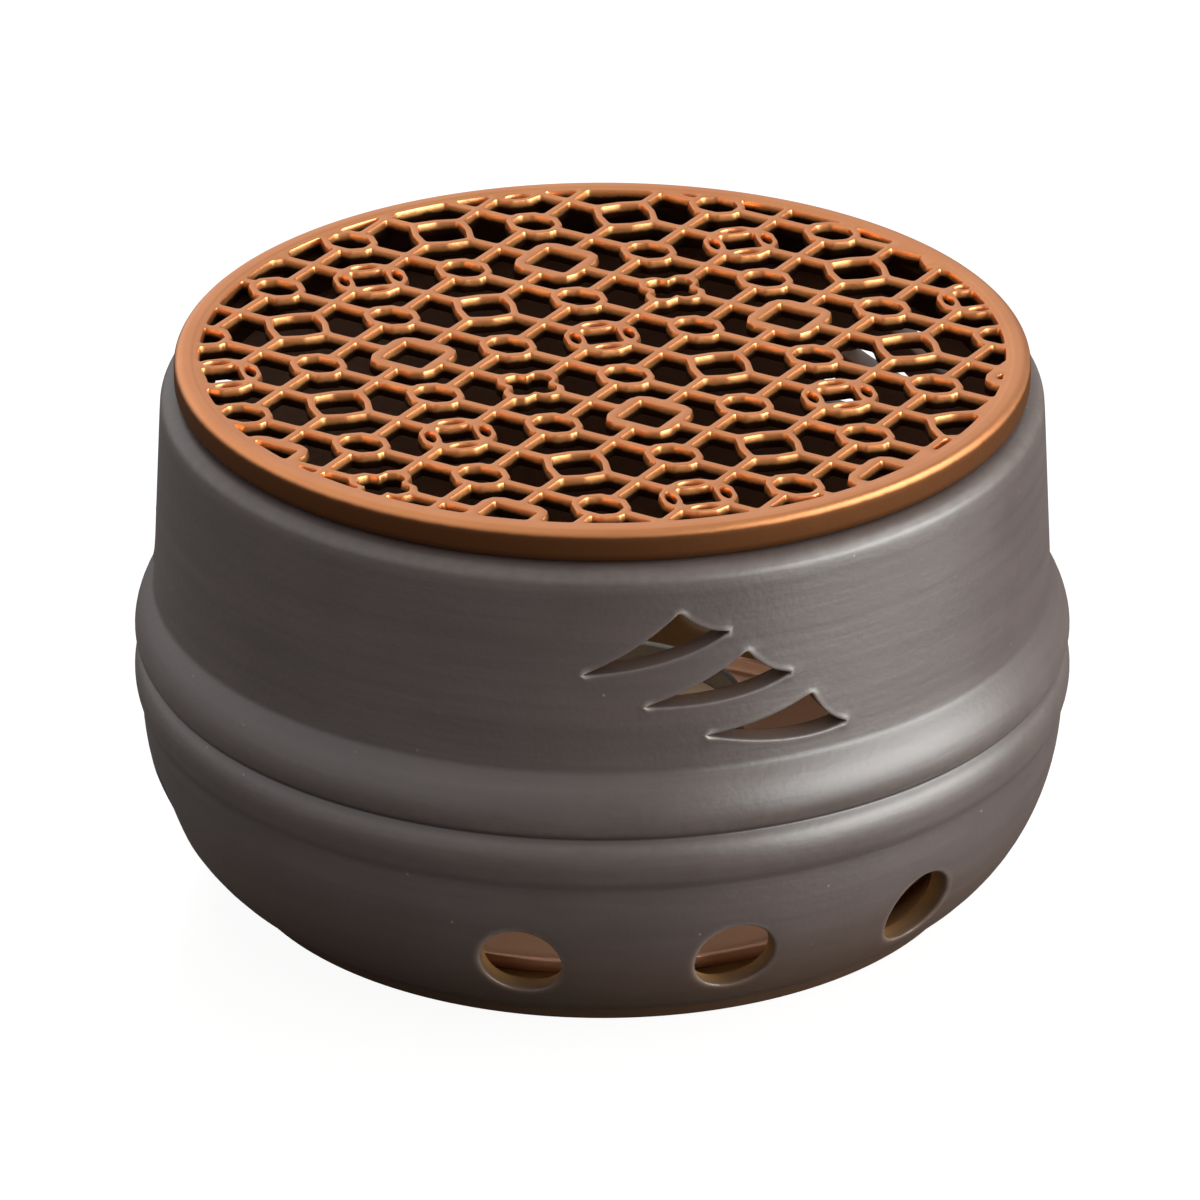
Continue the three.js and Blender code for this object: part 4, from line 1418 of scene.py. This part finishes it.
def make_cast_copper():
    """Gives rosy satin tops, a painted gold highlight under the edges, and brown-black patina with
    painted shade down the walls.
    """
    material, tree, surface, in_mm = new_material("antique_cast_copper")
    height = add(tree, "ShaderNodeSeparateXYZ", {}, {0: in_mm})
    depth = add(
        tree, "ShaderNodeMath", {"operation": "SUBTRACT", 0: PLATE_TOP}, {1: height.outputs[2]}
    )
    tint_noise = add(
        tree, "ShaderNodeTexNoise", {"Scale": 1 / TINT_WIDTH, "Detail": 3.0}, {"Vector": in_mm}
    )
    tint = add(
        tree, "ShaderNodeMix",
        {"data_type": "RGBA", 6: to_linear("dc8e5c"), 7: to_linear("f3a771")},
        {0: tint_noise.outputs[0]},
    )
    edge_noise = add(
        tree, "ShaderNodeTexNoise", {"Scale": 1 / PATCH_WIDTH, "Detail": 4.0, "Roughness": 0.6},
        {"Vector": in_mm},
    )
    shifted = add(
        tree, "ShaderNodeMapRange", {"To Min": -PATCH_SHIFT, "To Max": PATCH_SHIFT},
        {"Value": edge_noise.outputs[0]},
    )
    uneven = add(
        tree, "ShaderNodeMath", {"operation": "ADD"}, {0: depth.outputs[0], 1: shifted.outputs[0]}
    )
    level = add(
        tree, "ShaderNodeVectorMath", {"operation": "MULTIPLY", 1: (1, 1, 0)}, {0: in_mm}
    )
    radius = add(tree, "ShaderNodeVectorMath", {"operation": "LENGTH"}, {0: level.outputs[0]})
    outside = add(
        tree, "ShaderNodeMapRange", {"From Min": SIDE_RADIUS[0], "From Max": SIDE_RADIUS[1]},
        {"Value": radius.outputs["Value"]},
    )
    below_top = add(
        tree, "ShaderNodeMapRange",
        {
            "interpolation_type": "SMOOTHSTEP",
            "From Min": GOLD_HIGHLIGHT_DEPTH[0], "From Max": GOLD_HIGHLIGHT_DEPTH[1],
        },
        {"Value": depth.outputs[0]},
    )
    # Painted highlight: gold just under the top edges, where the walls catch the window, but not on
    # the band's side.
    gold_highlight_share = add(
        tree, "ShaderNodeMath", {"operation": "SUBTRACT", "use_clamp": True},
        {0: below_top.outputs[0], 1: outside.outputs[0]},
    )
    painted_gold_highlight = add(
        tree, "ShaderNodeMix", {"data_type": "RGBA", 7: to_linear("dd9c60")},
        {0: gold_highlight_share.outputs[0], 6: tint.outputs[2]},
    )
    # Patina with painted shade: the walls of the openings darken with depth.
    in_openings = add(
        tree, "ShaderNodeMapRange",
        {
            "interpolation_type": "SMOOTHSTEP",
            "From Min": WALL_PATINA_AND_SHADE[0], "From Max": WALL_PATINA_AND_SHADE[1],
        },
        {"Value": uneven.outputs[0]},
    )
    # Patina with a painted dark reflection: the band's side darkens downwards.
    down_side = add(
        tree, "ShaderNodeMapRange",
        {
            "interpolation_type": "SMOOTHSTEP",
            "From Min": SIDE_PATINA_AND_SHADE[0], "From Max": SIDE_PATINA_AND_SHADE[1],
        },
        {"Value": depth.outputs[0]},
    )
    on_side = add(
        tree, "ShaderNodeMath", {"operation": "MULTIPLY"},
        {0: down_side.outputs[0], 1: outside.outputs[0]},
    )
    dark_walls = add(
        tree, "ShaderNodeMix", {"data_type": "RGBA", 7: to_linear("341f12")},
        {0: in_openings.outputs[0], 6: painted_gold_highlight.outputs[2]},
    )
    aged_and_shaded = add(
        tree, "ShaderNodeMix", {"data_type": "RGBA", 7: to_linear("623d24")},
        {0: on_side.outputs[0], 6: dark_walls.outputs[2]},
    )
    tree.links.new(aged_and_shaded.outputs[2], surface.inputs["Base Color"])
    surface.inputs["Metallic"].default_value = 1.0
    sheen = add(
        tree, "ShaderNodeMapRange", {"To Min": 0.32, "To Max": 0.44},
        {"Value": edge_noise.outputs[0]},
    )
    dark_share = add(
        tree, "ShaderNodeMath", {"operation": "MAXIMUM"},
        {0: in_openings.outputs[0], 1: on_side.outputs[0]},
    )
    dulled = add(
        tree, "ShaderNodeMath", {"operation": "MULTIPLY_ADD", 1: 0.35},
        {0: dark_share.outputs[0], 2: sheen.outputs[0]},
    )
    tree.links.new(dulled.outputs[0], surface.inputs["Roughness"])
    grain = add(
        tree, "ShaderNodeTexNoise", {"Scale": 1 / GRAIN_WIDTH, "Detail": 3.0}, {"Vector": in_mm}
    )
    cast_skin = add(
        tree, "ShaderNodeBump", {"Strength": 0.45, "Distance": GRAIN_DEPTH * MM},
        {"Height": grain.outputs[0]},
    )
    tree.links.new(cast_skin.outputs[0], surface.inputs["Normal"])
    return material


grate.data.materials.append(make_cast_copper())
print("grate:", grate.data.materials[0].name)

# %% [markdown]
# ## Spun copper sheet
# The saucer is bare copper sheet, paler than the casting because it has no patina. A spinning
# tool leaves fine rings in it, and heat makes its tone a little uneven. Heat also leaves a thin
# film that scatters light, so the sheet doesn't only mirror the dark inside of the drum.

# %% Material: spun copper sheet
# Real spinning lines lie about 0.1 mm apart. These are drawn as coarse as they need to show.
SPIN_LINE = 0.5
SPIN_DEPTH = 0.03
TONE_WIDTH = 9.0


def make_spun_copper():
    """Gives a satin copper floor with fine rings that stretch its highlights."""
    material, tree, surface, in_mm = new_material("spun_copper_sheet")
    level = add(
        tree, "ShaderNodeVectorMath", {"operation": "MULTIPLY", 1: (1, 1, 0)}, {0: in_mm}
    )
    radius = add(
        tree, "ShaderNodeVectorMath", {"operation": "LENGTH"}, {0: level.outputs[0]}
    )
    lines = add(
        tree, "ShaderNodeTexNoise",
        {"noise_dimensions": "1D", "Scale": 1 / SPIN_LINE, "Detail": 2.0},
        {"W": radius.outputs["Value"]},
    )
    tone = add(tree, "ShaderNodeTexNoise", {"Scale": 1 / TONE_WIDTH, "Detail": 4.0}, {"Vector": in_mm})
    colour = add(
        tree, "ShaderNodeMix",
        {"data_type": "RGBA", 6: to_linear("eeaf88"), 7: to_linear("fac8a4")},
        {0: tone.outputs[0]},
    )
    tree.links.new(colour.outputs[2], surface.inputs["Base Color"])
    surface.inputs["Metallic"].default_value = 0.6
    surface.inputs["Roughness"].default_value = 0.4
    turned_skin = add(
        tree, "ShaderNodeBump", {"Strength": 0.35, "Distance": SPIN_DEPTH * MM},
        {"Height": lines.outputs[0]},
    )
    tree.links.new(turned_skin.outputs[0], surface.inputs["Normal"])
    return material


saucer.data.materials.append(make_spun_copper())
print("saucer:", saucer.data.materials[0].name)

# %% [markdown]
# ## The tealight's materials
# Four plain ones: satin foil, wax that lets a little light in, dull tinned steel and cotton.
# They are hardly seen from outside, so one function makes them all: a noise gives each its
# uneven tone and its relief.

# %% Materials: foil, wax, tinned steel and cotton
def make_small_material(name, colours, spot_width, roughness, metallic, bump_depth):
    """A surface with a slightly uneven tone and a fine relief. Widths and depths are in mm."""
    material, tree, surface, in_mm = new_material(name)
    noise = add(
        tree, "ShaderNodeTexNoise", {"Scale": 1 / spot_width, "Detail": 4.0}, {"Vector": in_mm}
    )
    colour = add(
        tree, "ShaderNodeMix",
        {"data_type": "RGBA", 6: to_linear(colours[0]), 7: to_linear(colours[1])},
        {0: noise.outputs[0]},
    )
    relief = add(
        tree, "ShaderNodeBump", {"Strength": 0.5, "Distance": bump_depth * MM},
        {"Height": noise.outputs[0]},
    )
    tree.links.new(colour.outputs[2], surface.inputs["Base Color"])
    tree.links.new(relief.outputs[0], surface.inputs["Normal"])
    surface.inputs["Roughness"].default_value = roughness
    surface.inputs["Metallic"].default_value = metallic
    return material, surface


# Drawn aluminium foil: satin, with soft streaky reflections from its flutes.
foil, _ = make_small_material("drawn_aluminium_foil", ("a19e9a", "b8b5b0"), 3.0, 0.45, 0.9, 0.01)
bpy.data.objects["drawn_aluminium_cup"].data.materials.append(foil)

# Tan wax: soft, because some light goes in and comes out again nearby.
wax, wax_surface = make_small_material("tan_wax", ("e6c09a", "f3d6b4"), 6.0, 0.38, 0.0, 0.03)
wax_surface.inputs["Subsurface Weight"].default_value = 0.25
wax_surface.inputs["Subsurface Radius"].default_value = (0.004, 0.003, 0.002)
bpy.data.objects["poured_wax"].data.materials.append(wax)

# Tinned steel: grey with a faint mottle, and hardly seen under the wax.
steel, _ = make_small_material("dull_tinned_steel", ("8f9094", "b4b5b8"), 1.2, 0.42, 1.0, 0.01)
tab = bpy.data.objects["wick_tab"]
tab.data.materials.clear()
tab.data.materials.append(steel)

# Waxed cotton: matt and off-white, with the fuzz of the yarn as a fine relief.
cotton, _ = make_small_material("waxed_cotton", ("d8cfb8", "efe8d6"), 0.3, 0.8, 0.0, 0.04)
bpy.data.objects["braided_wick"].data.materials.append(cotton)
print("small materials:", foil.name, wax.name, steel.name, cotton.name)
